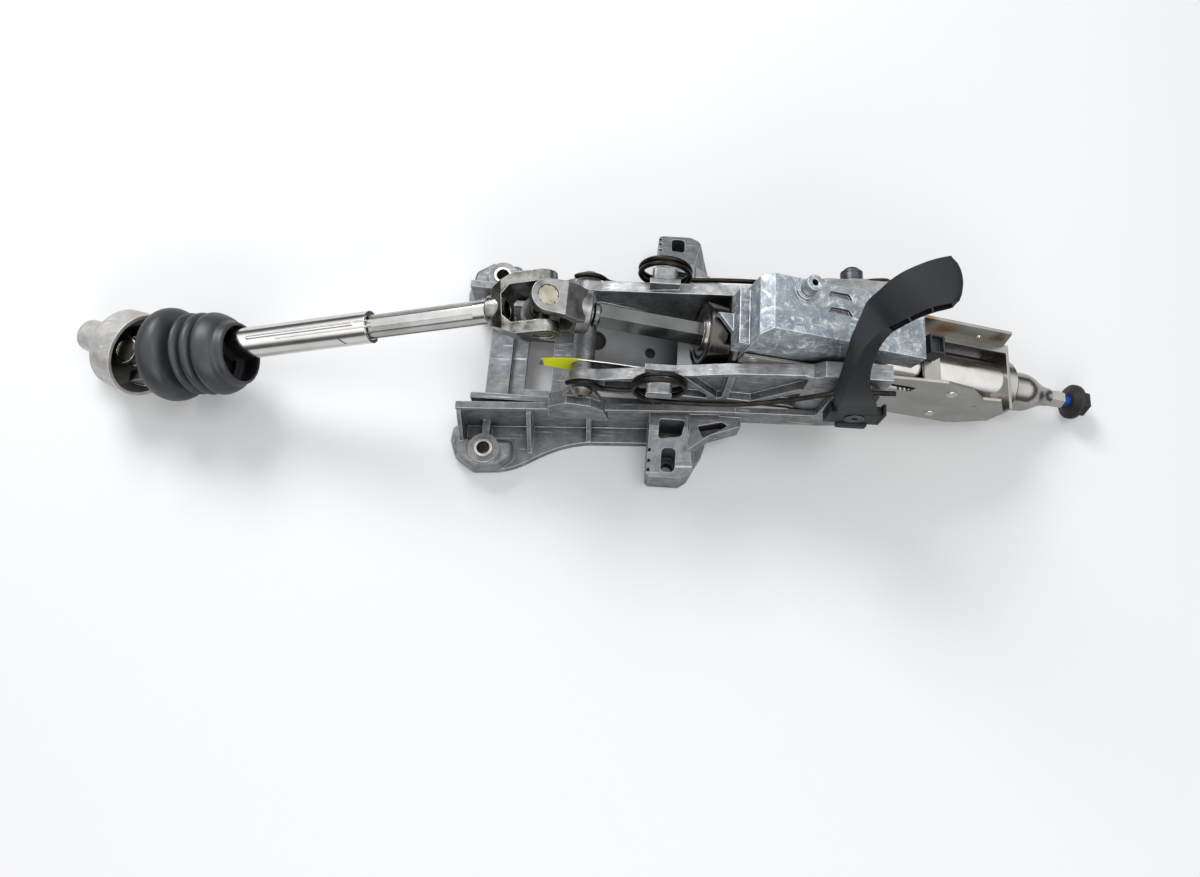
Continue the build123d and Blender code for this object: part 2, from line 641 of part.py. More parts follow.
def jacket_bracket():
    """Pressed U-channel round the tube: two cheeks, bottom web, top band and end plate; the near cheek runs on to the flange."""
    n0 = -CHANNEL_LOW
    cheek_in = CHEEK_PLATE_IN
    cheek_out = CHEEK_PLATE_IN + CHEEK_PLATE_T
    top = CHANNEL_TOP_N
    arm_s0 = PLATE_S + PLATE_T + 1
    near = flat_y([(CHANNEL_S0, n0), (350, n0), (372, n0 + 2), (CHANNEL_S1, n0 + 16), (CHANNEL_S1, 16), (375, 35),
                   (360, 32), (340, top), (316, top + 4), (CHANNEL_S0 + 40, top - 7), (CHANNEL_S0, top - 9),
                   (arm_s0, top - 12), (arm_s0, CLAMP_N - 6), (CHANNEL_S0, CLAMP_N - 8)], -cheek_out, -cheek_in)
    far = flat_y([(CHANNEL_S0, n0), (350, n0), (372, n0 + 2), (CHANNEL_S1, n0 + 16), (CHANNEL_S1, 18), (379, top + 2),
                  (CHANNEL_S0 + 84, top + 2), (CHANNEL_S0 + 40, top - 8), (CHANNEL_S0, 14)], cheek_in, cheek_out)
    web = block(CHANNEL_S0, 366, -cheek_out, cheek_out, n0, n0 + SHEET_T)
    band = block(312, 327, -cheek_in - 1, cheek_in + 1, TUBE_R + GAP, TUBE_R + GAP + SHEET_T)
    sill = block(327, CHANNEL_S1, cheek_in - 5, cheek_in + 1, TUBE_R + GAP, TUBE_R + GAP + SHEET_T)
    end = block(CHANNEL_S1, CHANNEL_S1 + SHEET_T, -cheek_out, cheek_out, n0 + 16, TUBE_R + GAP + SHEET_T)
    end -= rod_x(TUBE_R, CHANNEL_S1 - 1, CHANNEL_S1 + 4)
    body = near + far + web + band + sill + end
    body -= reach_slot(-cheek_out - 1, cheek_out + 1)
    body -= rod_y(2.5, 0, 40, HOLE_S - 5, 34.5) + rod_y(1.8, -40, 0, HOLE_S, 16.5)
    return column * body


def reach_slot(y0, y1):
    """The clamp bolt's slot along the column, with toothed edges for the crash stop."""
    half = CLAMP_BOLT_R + 0.3
    start = CLAMP_S - REACH_OUT - 1
    stop = CLAMP_S + REACH_IN + 33
    slot = block(start, stop, y0, y1, CLAMP_N - half, CLAMP_N + half)
    slot += rod_y(half, y0, y1, start, CLAMP_N)
    tooth = stop - 12
    while tooth < stop:
        slot += block(tooth, tooth + 2, y0, y1, CLAMP_N - half - 1.5, CLAMP_N - half + 1)
        tooth += 4
    return slot


def jacket_rivets():
    """Button-headed rivets through the cheeks, and a flat one at the near cheek's front end that clears the tilt arm."""
    heads = []
    out = CHEEK_PLATE_IN + CHEEK_PLATE_T
    for s, n in RIVETS:
        heads.append(column * rod_y(4.5, -out - 1.6, -out, s, n))
        heads.append(column * rod_y(4.5, out, out + 1.6, s, n))
    flush = ARM_REAR_IN - out - FIT
    heads.append(column * rod_y(4, -out - flush, -out, PLATE_S + 12.5, CLAMP_N + 1.5))
    return group(*heads)


def collar():
    """Turned ring over the tube's end that holds the upper bearing."""
    s0 = CHANNEL_S1 + SHEET_T
    ring = turned([(s0, TUBE_R + FIT), (s0, COLLAR_R), (COLLAR_S1 - 3, COLLAR_R), (COLLAR_S1, COLLAR_R - 3),
                   (COLLAR_S1, CONE_R0 + 1.2), (COLLAR_S1 - 2.5, CONE_R0 + 1.2), (COLLAR_S1 - 2.5, UPPER_OUT_R + FIT),
                   (JACKET_END_S + GAP, UPPER_OUT_R + FIT), (JACKET_END_S + GAP, TUBE_R + FIT)])
    return column * ring


def spindle():
    """The upper shaft: hexagon socket at the front, lock ring seat, swept cone and hexagon neck."""
    shank = Polyline((BEARING_S - 2, 0), (BEARING_S - 2, BEARING_IN_R - FIT), (PLATE_S + 4, BEARING_IN_R - FIT),
                     (PLATE_S + 4, 13), (SOCKET_S1 + 6, 13), (SOCKET_S1 + 10, SPINDLE_R - FIT),
                     (COLLAR_S1 - 1, SPINDLE_R - FIT), (COLLAR_S1 - 1, CONE_R0 - 1), (COLLAR_S1, CONE_R0),
                     (COLLAR_S1 + 15, CONE_R0))
    sweep_in = Spline(shank @ 1, ((COLLAR_S1 + 15 + CONE_S1) / 2, (CONE_R0 + CONE_R1) / 2), (CONE_S1, CONE_R1),
                      tangents=((1, 0), (1, 0)))
    back = Polyline(sweep_in @ 1, (CONE_S1, 0), shank @ 0)
    body = revolve(Plane.XZ * make_face(shank + sweep_in + back), Axis.X)
    body += hex_x(NECK_AF, CONE_S1 - 1, NECK_S1)
    body -= hex_x(HEX_AF + 2 * FIT, BEARING_S - 3, SOCKET_S1)
    body -= rod_x(THREAD_R, NECK_S1 - 22, NECK_S1 + 1)
    flat = block(COLLAR_S1 + 6, COLLAR_S1 + 24, -30, 30, CONE_R0 - 1.2, 30)
    body -= flat.rotate(Axis.X, 75)
    return column * body


def lock_ring():
    """Notched ring pressed on the spindle, which the lock bolt drops into."""
    ring = tube_x(LOCK_RING_R, 13, LOCK_BOLT_S - 7, LOCK_BOLT_S + 7)
    for k in range(8):
        notch = block(LOCK_BOLT_S - 8, LOCK_BOLT_S + 8, -2.8, 2.8, LOCK_RING_R - 2.5, LOCK_RING_R + 2)
        ring -= notch.rotate(Axis.X, 45 * k)
    return column * ring


def wheel_bolt():
    """The wheel bolt: threaded shank in the neck and a hexagon flange head."""
    bolt = rod_x(THREAD_R, NECK_S1 - 16, DISC_S + DISC_T)
    bolt += rod_x(HEAD_AF / 2 + 1, DISC_S + DISC_T, DISC_S + DISC_T + 2)
    bolt += hex_x(HEAD_AF, DISC_S + DISC_T + 2, DISC_S + DISC_T + HEAD_T)
    return column * bolt


def bolt_disc():
    """Dished black washer held on the shank."""
    disc = turned([(DISC_S - 2.5, THREAD_R), (DISC_S - 2.5, THREAD_R + 3), (DISC_S, DISC_R - 2), (DISC_S + 1, DISC_R),
                   (DISC_S + DISC_T, DISC_R), (DISC_S + DISC_T, THREAD_R)])
    return column * disc


def slider_shaft():
    """The hexagon shaft that slides in the spindle, with a turned neck at the yoke."""
    s0 = COLUMN_BRIDGE_R + COLUMN_BRIDGE_T - 2
    shaft = hex_x(HEX_AF, s0 + 12, HEX_S1)
    shaft += turned([(s0, 0), (s0, 7), (s0 + 8, 7), (s0 + 9, 10), (s0 + 12, 10), (s0 + 16, 7.5), (s0 + 16, 0)])
    return column * shaft


def joint_yoke(half_w, bridge_r, bridge_t, hub_r, hub_l, bore_r):
    """A forged yoke along +X: two arms across Z, bridge and round hub."""
    inner = ARM_OUT - ARM_T
    end = bridge_r + bridge_t
    outline = [(0, -half_w), (bridge_r, -half_w - 1), (end - 2, -hub_r * 0.75), (end - 2, hub_r * 0.75),
               (bridge_r, half_w + 1), (0, half_w)]
    body = flat_z(outline, -ARM_OUT, ARM_OUT) + rod_z(half_w, -ARM_OUT, ARM_OUT)
    tip = -half_w - 1
    side = [(tip, ARM_OUT), (bridge_r - 10, ARM_OUT), (end - 2, ARM_OUT - 9), (end - 2, 9 - ARM_OUT),
            (bridge_r - 10, -ARM_OUT), (tip, -ARM_OUT), (tip, -inner), (bridge_r - 7, -inner), (bridge_r, 7 - inner),
            (bridge_r, inner - 7), (bridge_r - 7, inner), (tip, inner)]
    body &= flat_y(side, -40, 40)
    hub = rod_x(hub_r, bridge_r + 2, end + hub_l)
    body += chamfer(hub.edges().sort_by(Axis.X)[-1], 1)
    body -= rod_z(CAP_R, -40, 40)
    body -= rod_x(bore_r, bridge_r - 1, end + hub_l + 1)
    return body


def caps(frame):
    """Two needle cups pressed in a yoke's arms, closed outside, bored for the cross."""
    cap = rod_z(CAP_R, ARM_OUT - 1 - CAP_L, ARM_OUT - 1) - rod_z(PIN_R + FIT, 0, ARM_OUT - 3.5)
    return group(frame * cap, frame * mirror(cap, Plane.XY))


def cross(frame):
    """The spider: four trunnions on a round-cornered core."""
    tip = ARM_OUT - 4
    body = rod_z(PIN_R, -tip, tip) + rod_x(PIN_R, -tip, tip)
    core = Box(16, 16, 16) & Sphere(10.5)
    return frame * (body + core)


def column_yoke():
    body = joint_yoke(ARM_HALF_W, COLUMN_BRIDGE_R, COLUMN_BRIDGE_T, COLUMN_HUB_R, COLUMN_HUB_L, 7)
    return yoke_frame * body


def fork():
    body = joint_yoke(ARM_HALF_W, BRIDGE_R, BRIDGE_T, 12, 3, 7)
    return fork_frame * body


def inner_shaft():
    """Fluted shaft: a round bar with six shallow flats and grooves."""
    x0 = BRIDGE_R + BRIDGE_T - 2
    shaft = rod_x(INNER_R, x0 + 6, INNER_END) + rod_x(7, x0, x0 + 7)
    for k in range(6):
        groove = block(x0 + 16, INNER_END + 1, -1.6, 1.6, INNER_R - 1.2, INNER_R + 2)
        shaft -= groove.rotate(Axis.X, 60 * k + 30)
    return lower * shaft


def outer_tube():
    """Drawn tube with an open stepped mouth, a long pressed bead and a dimple."""
    end = LOWER_LENGTH - BRIDGE_R - BRIDGE_T
    tube = turned([(OUTER_START, OUTER_BORE), (OUTER_START, OUTER_R), (end - 8, OUTER_R), (end, OUTER_R - 2),
                   (end, 0), (end - 5, 0), (end - 5, OUTER_BORE)])
    tube -= block(OUTER_START - 1, OUTER_START + 12, -20, 20, -20, -9.5)
    top = OUTER_R - 0.7
    bead = rod_x(BEAD_R, OUTER_START + 10, OUTER_START + 10 + BEAD_L).moved(Location((0, 0, top)))
    for x in (OUTER_START + 10, OUTER_START + 10 + BEAD_L):
        bead += Pos(x, 0, top) * Sphere(BEAD_R)
    tube += bead
    stub = rod_x(7, end - 3, end + 8)
    return lower * (tube + stub)


def tube_yoke():
    body = joint_yoke(ARM_HALF_W, BRIDGE_R, BRIDGE_T, 12.5, 0, 7)
    return tube_frame * body


def boot():
    """Moulded rubber bellows, loose round the tube, with an inner web that seats on it."""
    rings = 4
    step = (BOOT_END - BOOT_START - 12) / rings
    outer = [(BOOT_START, BOOT_R - 15), (BOOT_START, BOOT_R - 12), (BOOT_START + 12, BOOT_R - 9)]
    for k in range(rings):
        x = BOOT_START + 12 + k * step
        crest = BOOT_R - 4.5 + k * 1.5
        outer += [(x + step * 0.15, crest - 5), (x + step * 0.4, crest - 0.8), (x + step * 0.55, crest),
                  (x + step * 0.75, crest - 0.8), (x + step, crest - 5)]
    inner = [(x, r - BOOT_T) for x, r in outer[2:]]
    shell = turned([*outer, *inner[::-1], (BOOT_START + BOOT_T, BOOT_R - 15)])
    web = turned([(BOOT_WEB, OUTER_R), (BOOT_WEB, BOOT_R - 4.5), (BOOT_WEB + 2, BOOT_R - 4.5),
                  (BOOT_WEB + 4, OUTER_R + 2), (BOOT_WEB + 4, OUTER_R)])
    return lower * (shell + web)


def cup():
    """Cast bell over the lower joint with a split clamp neck."""
    m = -CUP_MOUTH
    d = CUP_DEPTH
    shell = turned([(m, CUP_R - CUP_T), (m, CUP_R), (m + 24, CUP_R - 1.5), (d - 12, CUP_R - 9), (d - 2, CUP_NECK_R + 4),
                    (d + 6, CUP_NECK_R), (CUP_NECK_END, CUP_NECK_R - 1), (CUP_NECK_END, PINION_BORE_R),
                    (d - 4, PINION_BORE_R), (d - 4, CUP_NECK_R), (d - 14, CUP_R - 12), (m + 22, CUP_R - 4.5)])
    lug = block(PINCH_X - 9, PINCH_X + 9, -7, 7, 8, PINCH_Z + 8)
    lug = fillet(lug.edges().filter_by(Axis.Y), 4)
    shell += lug - rod_x(PINION_BORE_R, d, CUP_NECK_END)
    shell -= block(d + 6, CUP_NECK_END + 1, -1.25, 1.25, 0, PINCH_Z + 10)
    shell -= rod_y(PINCH_R + 0.2, -20, 20, PINCH_X, PINCH_Z)
    return cup_frame * shell


def cup_yoke():
    body = joint_yoke(ARM_HALF_W - 1, BRIDGE_R, BRIDGE_T, 12, CUP_DEPTH - 4 - BRIDGE_R - BRIDGE_T, 5)
    return cup_frame * body


def pinch_bolt():
    bolt = rod_y(PINCH_R, -7.5, 13, PINCH_X, PINCH_Z) + rod_y(7, -9, -7, PINCH_X, PINCH_Z)
    head = Plane.XZ.offset(9) * Pos(PINCH_X, PINCH_Z) * RegularPolygon(5.5, 6, major_radius=False)
    return cup_frame * (bolt + extrude(head, amount=4))


def pinch_nut():
    face = Plane.XZ.offset(-7) * Pos(PINCH_X, PINCH_Z) * RegularPolygon(5.5, 6, major_radius=False)
    nut = extrude(face, amount=5, dir=(0, 1, 0))
    return cup_frame * (nut - rod_y(PINCH_R, 6, 13, PINCH_X, PINCH_Z))


def lock_housing():
    """Die-cast lock housing: stepped box saddled on the tube, with a lower tail to the rear."""
    h = LOCK_HALF
    saddle_end = CLAMP_S - REACH_OUT - CLAMP_BOLT_R - 2
    bolt_clear = CLAMP_N + CLAMP_BOLT_R + 1.5
    side = [(LOCK_S0, LOCK_LOW), (saddle_end, LOCK_LOW), (saddle_end, bolt_clear), (LOCK_S1, bolt_clear),
            (LOCK_S1, LOCK_TOP), (LOCK_S0 + 8, LOCK_TOP), (LOCK_S0, LOCK_TOP - 8)]
    body = flat_y(side, -h, h)
    section = Plane.YZ.offset(LOCK_S0 - 1) * Polygon((-h, LOCK_LOW), (h, LOCK_LOW), (h, LOCK_TOP), (6 - h, LOCK_TOP),
                                                     (-h, LOCK_TOP - 14), align=None)
    body &= extrude(section, amount=LOCK_S1 - LOCK_S0 + 2, dir=(1, 0, 0))
    body += block(LOCK_S0 - 8, LOCK_S0 + 1, -h + 2, h - 3, 27.5, LOCK_TOP - 26)
    body += block(LOCK_S1 - 1, TAIL_S1, TAIL_IN, TAIL_OUT, TAIL_LOW, TAIL_TOP)
    body += flat_z([(LOCK_S0 - 20, 5), (LOCK_S0 - 7, -10), (LOCK_S0 - 7, 6)], 27.5, 32)
    body += rod_z(8, LOCK_TOP - 1, LOCK_TOP + 3, 183, 15) + rod_z(6.2, LOCK_TOP, LOCK_TOP + 15, 183, 15)
    body -= rod_z(2.6, LOCK_TOP - 4, LOCK_TOP + 16, 183, 15)
    for y in (4, 17):
        body -= flat_z([(201, y - 2.5), (222, y - 2.5), (219, y + 2.5), (204, y + 2.5)], LOCK_TOP - 3, LOCK_TOP + 1)
    body -= rod_x(TUBE_R + FIT, LOCK_S0 - 30, LOCK_S1 + 70)
    body -= rod_z(LOCK_BOLT_R + FIT, 0, LOCK_TOP - 12, LOCK_BOLT_S)
    return column * body


def lock_bolt():
    """Spring-loaded lock bolt, drawn back from the notched ring."""
    low = LOCK_RING_R + 0.8
    bolt = rod_z(LOCK_BOLT_R, low + 3, low + 26, LOCK_BOLT_S)
    bolt += block(LOCK_BOLT_S - 3, LOCK_BOLT_S + 3, -2.2, 2.2, low, low + 4)
    return column * bolt


def lock_spring():
    """The lock bolt's coil spring, in its pocket."""
    low = LOCK_RING_R + 27
    return column * (rod_z(LOCK_BOLT_R - 0.5, low, LOCK_TOP - 12.3, LOCK_BOLT_S)
                     - rod_z(LOCK_BOLT_R - 1.8, low - 1, LOCK_TOP, LOCK_BOLT_S))


def clamp_bolt():
    """The bolt through both cheeks: domed head on the far side, lever and nut on the near side."""
    head_y = CHEEK_IN + CHEEK_T + GAP + STACK_T
    bolt = rod_y(CLAMP_BOLT_R, -HUB_Y - HUB_FLOOR - 1.3, head_y + 1, clamp_x, clamp_z)
    head = turned([(0, 0), (0, 9), (2, 9), (2.5, 7), (5, 6), (6.5, 3.5), (7, 0)])
    return bolt + Pos(clamp_x, head_y, clamp_z) * Rot(0, 0, 90) * head


def clamp_nut():
    """Star-headed nut in the lever's hub, screwed on the bolt."""
    y1 = -HUB_Y - HUB_FLOOR - GAP
    nut = rod_y(NUT_R, y1 - 3.6, y1, clamp_x, clamp_z) - rod_y(CLAMP_BOLT_R, y1 - 1, y1 + 1, clamp_x, clamp_z)
    socket = Plane(origin=(clamp_x, y1 - 4, clamp_z), x_dir=(1, 0, 0), z_dir=(0, 1, 0)) * star(3.6, 2.4)
    return nut - extrude(socket, amount=3, dir=(0, 1, 0))


def clamp_spacer():
    """Thrust washer stack between the far cheek and the bolt's head."""
    y0 = CHEEK_IN + CHEEK_T
    return rod_y(9, y0 + GAP, y0 + STACK_T, clamp_x, clamp_z) - rod_y(CLAMP_BOLT_R + FIT, y0, y0 + 20, clamp_x, clamp_z)


def cam_teeth(y0, y1, turn):
    """Three narrow cam teeth on a ring face, spaced by a third of a turn."""
    teeth = []
    for k in range(3):
        tooth = block(7.5, 11, y0, y1, -1, 1)
        teeth.append(Pos(clamp_x, 0, clamp_z) * tooth.rotate(Axis.Y, turn + 120 * k))
    return teeth


def fixed_cam():
    """Cam ring held by the near cheek, its teeth towards the lever."""
    y0 = -CHEEK_IN - CHEEK_T - GAP
    cam = rod_y(CAM_R, y0 - CAM_T, y0, clamp_x, clamp_z)
    for tooth in cam_teeth(y0 - CAM_T - TOOTH_H, y0 - CAM_T / 2, 0):
        cam += tooth
    return cam - rod_y(CLAMP_BOLT_R + FIT, y0 - 10, y0 + 1, clamp_x, clamp_z)


def moving_cam():
    """Cam ring that turns with the lever; its teeth face the fixed ring's while the column is clamped."""
    y0 = -CHEEK_IN - CHEEK_T - GAP - CAM_T - TOOTH_H - TOOTH_GAP
    cam = rod_y(CAM_R, -HUB_Y, y0 - TOOTH_H, clamp_x, clamp_z)
    for tooth in cam_teeth(y0 - TOOTH_H - 0.5, y0, 0):
        cam += tooth
    return cam - rod_y(CLAMP_BOLT_R + FIT, -HUB_Y - 1, y0 + 1, clamp_x, clamp_z)


def lever():
    """Moulded lever: hub at the clamp bolt, rising blade that turns over the column, hollow and ribbed inside."""
    y = -HUB_Y
    sections = (
        ((clamp_x, y - 4.5, clamp_z - 2), (1, 0, 0), 40, 8),
        ((clamp_x - 4, y - 5, clamp_z + 22), (1, 0, 0), 37, 9),
        ((clamp_x - 12, y - 5.5, clamp_z + 47), (1, 0, 0), 31, 10),
        ((clamp_x - 16, y + 8, clamp_z + 69), (0.96, -0.29, 0), 22, 11),
        ((clamp_x - 8, y + 32, clamp_z + 91), (0.48, -0.88, 0), 27, 11),
        ((clamp_x + 18, y + 48, clamp_z + 108), (0.25, -0.97, 0), 34, 11),
        ((clamp_x + 43, y + 55, clamp_z + 110), (0, -1, 0), 35, 8),
    )
    stations = []
    for k, (centre, across, width, thick) in enumerate(sections):
        ahead = sections[min(k + 1, len(sections) - 1)][0]
        behind = sections[max(k - 1, 0)][0]
        plane = Plane(origin=centre, x_dir=across, z_dir=Vector(*ahead) - Vector(*behind))
        stations.append((plane, width, thick))
    faces = [plane * RectangleRounded(width, thick, thick * 0.4) for plane, width, thick in stations]
    body = loft(faces[:3]) + loft(faces[2:])
    hub = block(clamp_x - HUB_HALF_X, clamp_x + HUB_HALF_X, y - HUB_T, y, clamp_z - 18, clamp_z + 10)
    body += fillet(hub.edges().filter_by(Axis.Y), 5)
    for (here, w0, t0), (there, w1, t1) in zip(stations[2:], stations[3:]):
        mouth = here.offset(1) * Pos(0, t0 / 2) * Rectangle(w0 - 6, t0)
        floor = there.offset(-1) * Pos(0, t1 / 2) * Rectangle(w1 - 6, t1)
        body -= loft([mouth, floor])
    body -= rod_y(CAM_R + GAP, y, 0, clamp_x, clamp_z)
    body -= rod_y(CLAMP_BOLT_R + FIT, y - 40, 0, clamp_x, clamp_z)
    body -= rod_y(NUT_R + GAP, y - 40, y - HUB_FLOOR, clamp_x, clamp_z)
    return body


def main():
    os.makedirs("parts", exist_ok=True)
    save("main_bracket", main_bracket())
    save("mount_sleeves", mount_sleeves())
    save("pivot_screws", pivot_screws())
    save("pivot_bushes", pivot_bushes())
    save("tilt_bracket", tilt_bracket())
    save("floor_plate", floor_plate())
    save("crash_strip", crash_strip())
    save("near_spring", near_spring())
    save("far_spring", mirror(near_spring(), Plane.XZ))
    save("jacket_tube", jacket_tube())
    save("bearing_housing", bearing_housing())
    save("end_plate", end_plate())
    s0 = BEARING_S + 1
    s1 = s0 + BEARING_W
    outer, inner = ring_pair(s0, s1, BEARING_OUT_R, BEARING_IN_R)
    save("lower_bearing_outer", column * outer)
    save("lower_bearing_inner", column * inner)
    save("lower_bearing_balls", balls(s0, s1, BEARING_OUT_R, BEARING_IN_R, 9))
    save("lower_bearing_seal", bearing_seal())
    save("jacket_bracket", jacket_bracket())
    save("jacket_rivets", jacket_rivets())
    save("collar", collar())
    s0 = JACKET_END_S + GAP
    s1 = COLLAR_S1 - 2.5
    outer, inner = ring_pair(s0, s1, UPPER_OUT_R, UPPER_IN_R)
    save("upper_bearing_outer", column * outer)
    save("upper_bearing_inner", column * inner)
    save("upper_bearing_balls", balls(s0, s1, UPPER_OUT_R, UPPER_IN_R, 8))
    save("spindle", spindle())
    save("lock_ring", lock_ring())
    save("wheel_bolt", wheel_bolt())
    save("bolt_disc", bolt_disc())
    save("slider_shaft", slider_shaft())
    save("column_yoke", column_yoke())
    save("column_yoke_caps", caps(yoke_frame))
    save("upper_cross", cross(upper_cross_frame))
    save("fork", fork())
    save("fork_caps", caps(fork_frame))
    save("inner_shaft", inner_shaft())
    save("outer_tube", outer_tube())
    save("tube_yoke", tube_yoke())
    save("tube_yoke_caps", caps(tube_frame))
    save("boot", boot())
    save("lower_cross", cross(lower_cross_frame))
    save("pinion_cup", cup())
    save("cup_yoke", cup_yoke())
    save("cup_yoke_caps", caps(cup_frame))
    save("pinch_bolt", pinch_bolt())
    save("pinch_nut", pinch_nut())
    save("lock_housing", lock_housing())
    save("lock_bolt", lock_bolt())
    save("lock_spring", lock_spring())
    save("clamp_bolt", clamp_bolt())
    save("clamp_nut", clamp_nut())
    save("clamp_spacer", clamp_spacer())
    save("fixed_cam", fixed_cam())
    save("moving_cam", moving_cam())
    save("clamp_lever", lever())


main()
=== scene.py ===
import json
import math

import bpy
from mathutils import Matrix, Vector


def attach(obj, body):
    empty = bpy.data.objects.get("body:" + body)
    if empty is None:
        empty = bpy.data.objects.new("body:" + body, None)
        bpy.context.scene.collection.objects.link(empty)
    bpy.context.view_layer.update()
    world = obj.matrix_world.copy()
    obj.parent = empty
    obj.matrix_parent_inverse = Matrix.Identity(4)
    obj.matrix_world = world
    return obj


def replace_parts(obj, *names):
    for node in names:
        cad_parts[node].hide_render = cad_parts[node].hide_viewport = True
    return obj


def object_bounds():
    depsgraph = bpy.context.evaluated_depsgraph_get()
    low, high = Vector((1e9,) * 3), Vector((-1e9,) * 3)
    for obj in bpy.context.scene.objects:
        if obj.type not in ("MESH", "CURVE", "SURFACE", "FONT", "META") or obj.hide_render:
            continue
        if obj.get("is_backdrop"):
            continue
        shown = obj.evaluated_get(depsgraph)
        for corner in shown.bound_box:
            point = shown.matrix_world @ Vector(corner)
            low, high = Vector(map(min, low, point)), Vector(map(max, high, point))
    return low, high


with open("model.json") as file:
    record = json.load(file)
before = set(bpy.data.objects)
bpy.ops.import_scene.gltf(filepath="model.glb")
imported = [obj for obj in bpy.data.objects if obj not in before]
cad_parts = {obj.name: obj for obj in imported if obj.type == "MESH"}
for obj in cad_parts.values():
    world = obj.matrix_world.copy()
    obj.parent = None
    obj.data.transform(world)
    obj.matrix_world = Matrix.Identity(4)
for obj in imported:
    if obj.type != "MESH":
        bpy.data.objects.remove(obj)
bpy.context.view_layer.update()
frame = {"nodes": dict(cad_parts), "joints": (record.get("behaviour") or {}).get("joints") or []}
nodes = frame["nodes"]


# Bench, light and camera
# The column lies bracket down on white paper, lit by a broad window and a white ceiling over darker walls.
# The camera looks steeply down on it from the clamp lever's side. Lengths are metres and angles degrees.

CAMERA_AT = (0.11504, -0.30344, 0.7576)
CAMERA_DOWN = 72.0
CAMERA_YAW = 4.0
CAMERA_LENS = 27.0
SENSOR_WIDTH = 36.0
PAPER = "#f3f4f5"
PAPER_ROUGHNESS = 0.9
PAPER_LIFT = 0.06
PAPER_Z = -0.0005
FLOOR_HALF = 6.0
ROOM_TINT = (0.985, 0.99, 1.0, 1.0)
WALL_TOP = 0.28
CEILING_EDGE = 0.56
WALL_LIGHT = 0.14
CEILING_LIGHT = 1.75
ROOM_LIGHT = 0.4
LAMP_TARGET = Vector((0.1, 0, 0.05))
# Each lamp: name, place, size and watts.
LAMPS = (
    ("window", (-0.7, 1.25, 1.45), 0.8, 24.0),
    ("ceiling", (0.7, -0.1, 1.9), 0.7, 6.0),
    ("near_wall", (0.2, -1.6, 0.9), 1.0, 9.0),
)


def shade(hex_colour):
    """Linear RGBA from an sRGB hex colour."""
    channels = [int(hex_colour[k:k + 2], 16) / 255 for k in (1, 3, 5)]
    return [c / 12.92 if c <= 0.04045 else ((c + 0.055) / 1.055) ** 2.4 for c in channels] + [1.0]


def feed(tree, node, inputs):
    """Sets a node's inputs to values, or links them to the sockets that feed them."""
    for name, value in inputs.items():
        if isinstance(value, bpy.types.NodeSocket):
            tree.links.new(value, node.inputs[name])
        else:
            node.inputs[name].default_value = value


def add(tree, kind, inputs=None, **settings):
    """Adds a shader node with its settings and inputs."""
    node = tree.nodes.new(kind)
    for name, value in settings.items():
        setattr(node, name, value)
    feed(tree, node, inputs or {})
    return node


def maths(tree, operation, *values, clamp=False):
    """One operation on values or sockets."""
    return add(tree, "ShaderNodeMath", dict(enumerate(values)), operation=operation, use_clamp=clamp).outputs[0]


def new_object(name, data):
    """New object in the scene from mesh, curve, camera or lamp data."""
    piece = bpy.data.objects.new(name, data)
    bpy.context.scene.collection.objects.link(piece)
    return piece


camera = bpy.data.cameras.new("bench_camera")
camera.lens = CAMERA_LENS
camera.sensor_width = SENSOR_WIDTH
camera_object = new_object("bench_camera", camera)
camera_object.location = CAMERA_AT
camera_object.rotation_euler = (math.radians(90 - CAMERA_DOWN), 0, math.radians(CAMERA_YAW))
bpy.context.scene.camera = camera_object
bpy.context.scene.view_settings.view_transform = "Standard"

bpy.ops.mesh.primitive_plane_add(size=2 * FLOOR_HALF, location=(0, 0, PAPER_Z))
floor = bpy.context.object
floor.name = "paper_floor"
paper = bpy.data.materials.new("white_paper")
paper.use_nodes = True
tree = paper.node_tree
lit = add(tree, "ShaderNodeLightPath").outputs["Is Camera Ray"]
feed(tree, tree.nodes["Principled BSDF"], {
    "Base Color": shade(PAPER), "Roughness": PAPER_ROUGHNESS, "Emission Color": (1, 1, 1, 1),
    "Emission Strength": maths(tree, "MULTIPLY", lit, PAPER_LIFT)})
floor.data.materials.append(paper)
floor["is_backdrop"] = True

world = bpy.data.worlds.new("white_room")
bpy.context.scene.world = world
world.use_nodes = True
room = world.node_tree
ray = add(room, "ShaderNodeLightPath").outputs
way = add(room, "ShaderNodeTexCoord").outputs["Generated"]
height = add(room, "ShaderNodeSeparateXYZ", {"Vector": way}).outputs["Z"]
mirror = add(room, "ShaderNodeMapRange", {"Value": height, "From Min": WALL_TOP, "From Max": CEILING_EDGE,
                                          "To Min": WALL_LIGHT, "To Max": CEILING_LIGHT},
             interpolation_type="SMOOTHSTEP").outputs[0]
glow = add(room, "ShaderNodeMix", {0: ray["Is Glossy Ray"], 2: ROOM_LIGHT, 3: mirror}, data_type="FLOAT").outputs[0]
seen = add(room, "ShaderNodeMix", {0: ray["Is Camera Ray"], 2: glow, 3: 1.0}, data_type="FLOAT").outputs[0]
feed(room, room.nodes["Background"], {"Color": ROOM_TINT, "Strength": seen})

for name, place, size, watts in LAMPS:
    lamp = bpy.data.lights.new(name, "AREA")
    lamp.size = size
    lamp.energy = watts
    lamp_object = new_object(name, lamp)
    lamp_object.location = place
    lamp_object.rotation_euler = (LAMP_TARGET - Vector(place)).to_track_quat("-Z", "Y").to_euler()


# Main bracket
# A pressure die-casting in aluminium with rails, feet, ribs and ears, left as cast.
# Handling has rubbed its edges bright, and the skin is mottled with a fine grain.

EDGE_SAMPLES = 6
RUBBED_FROM = 0.99
RUBBED_TO = 0.84


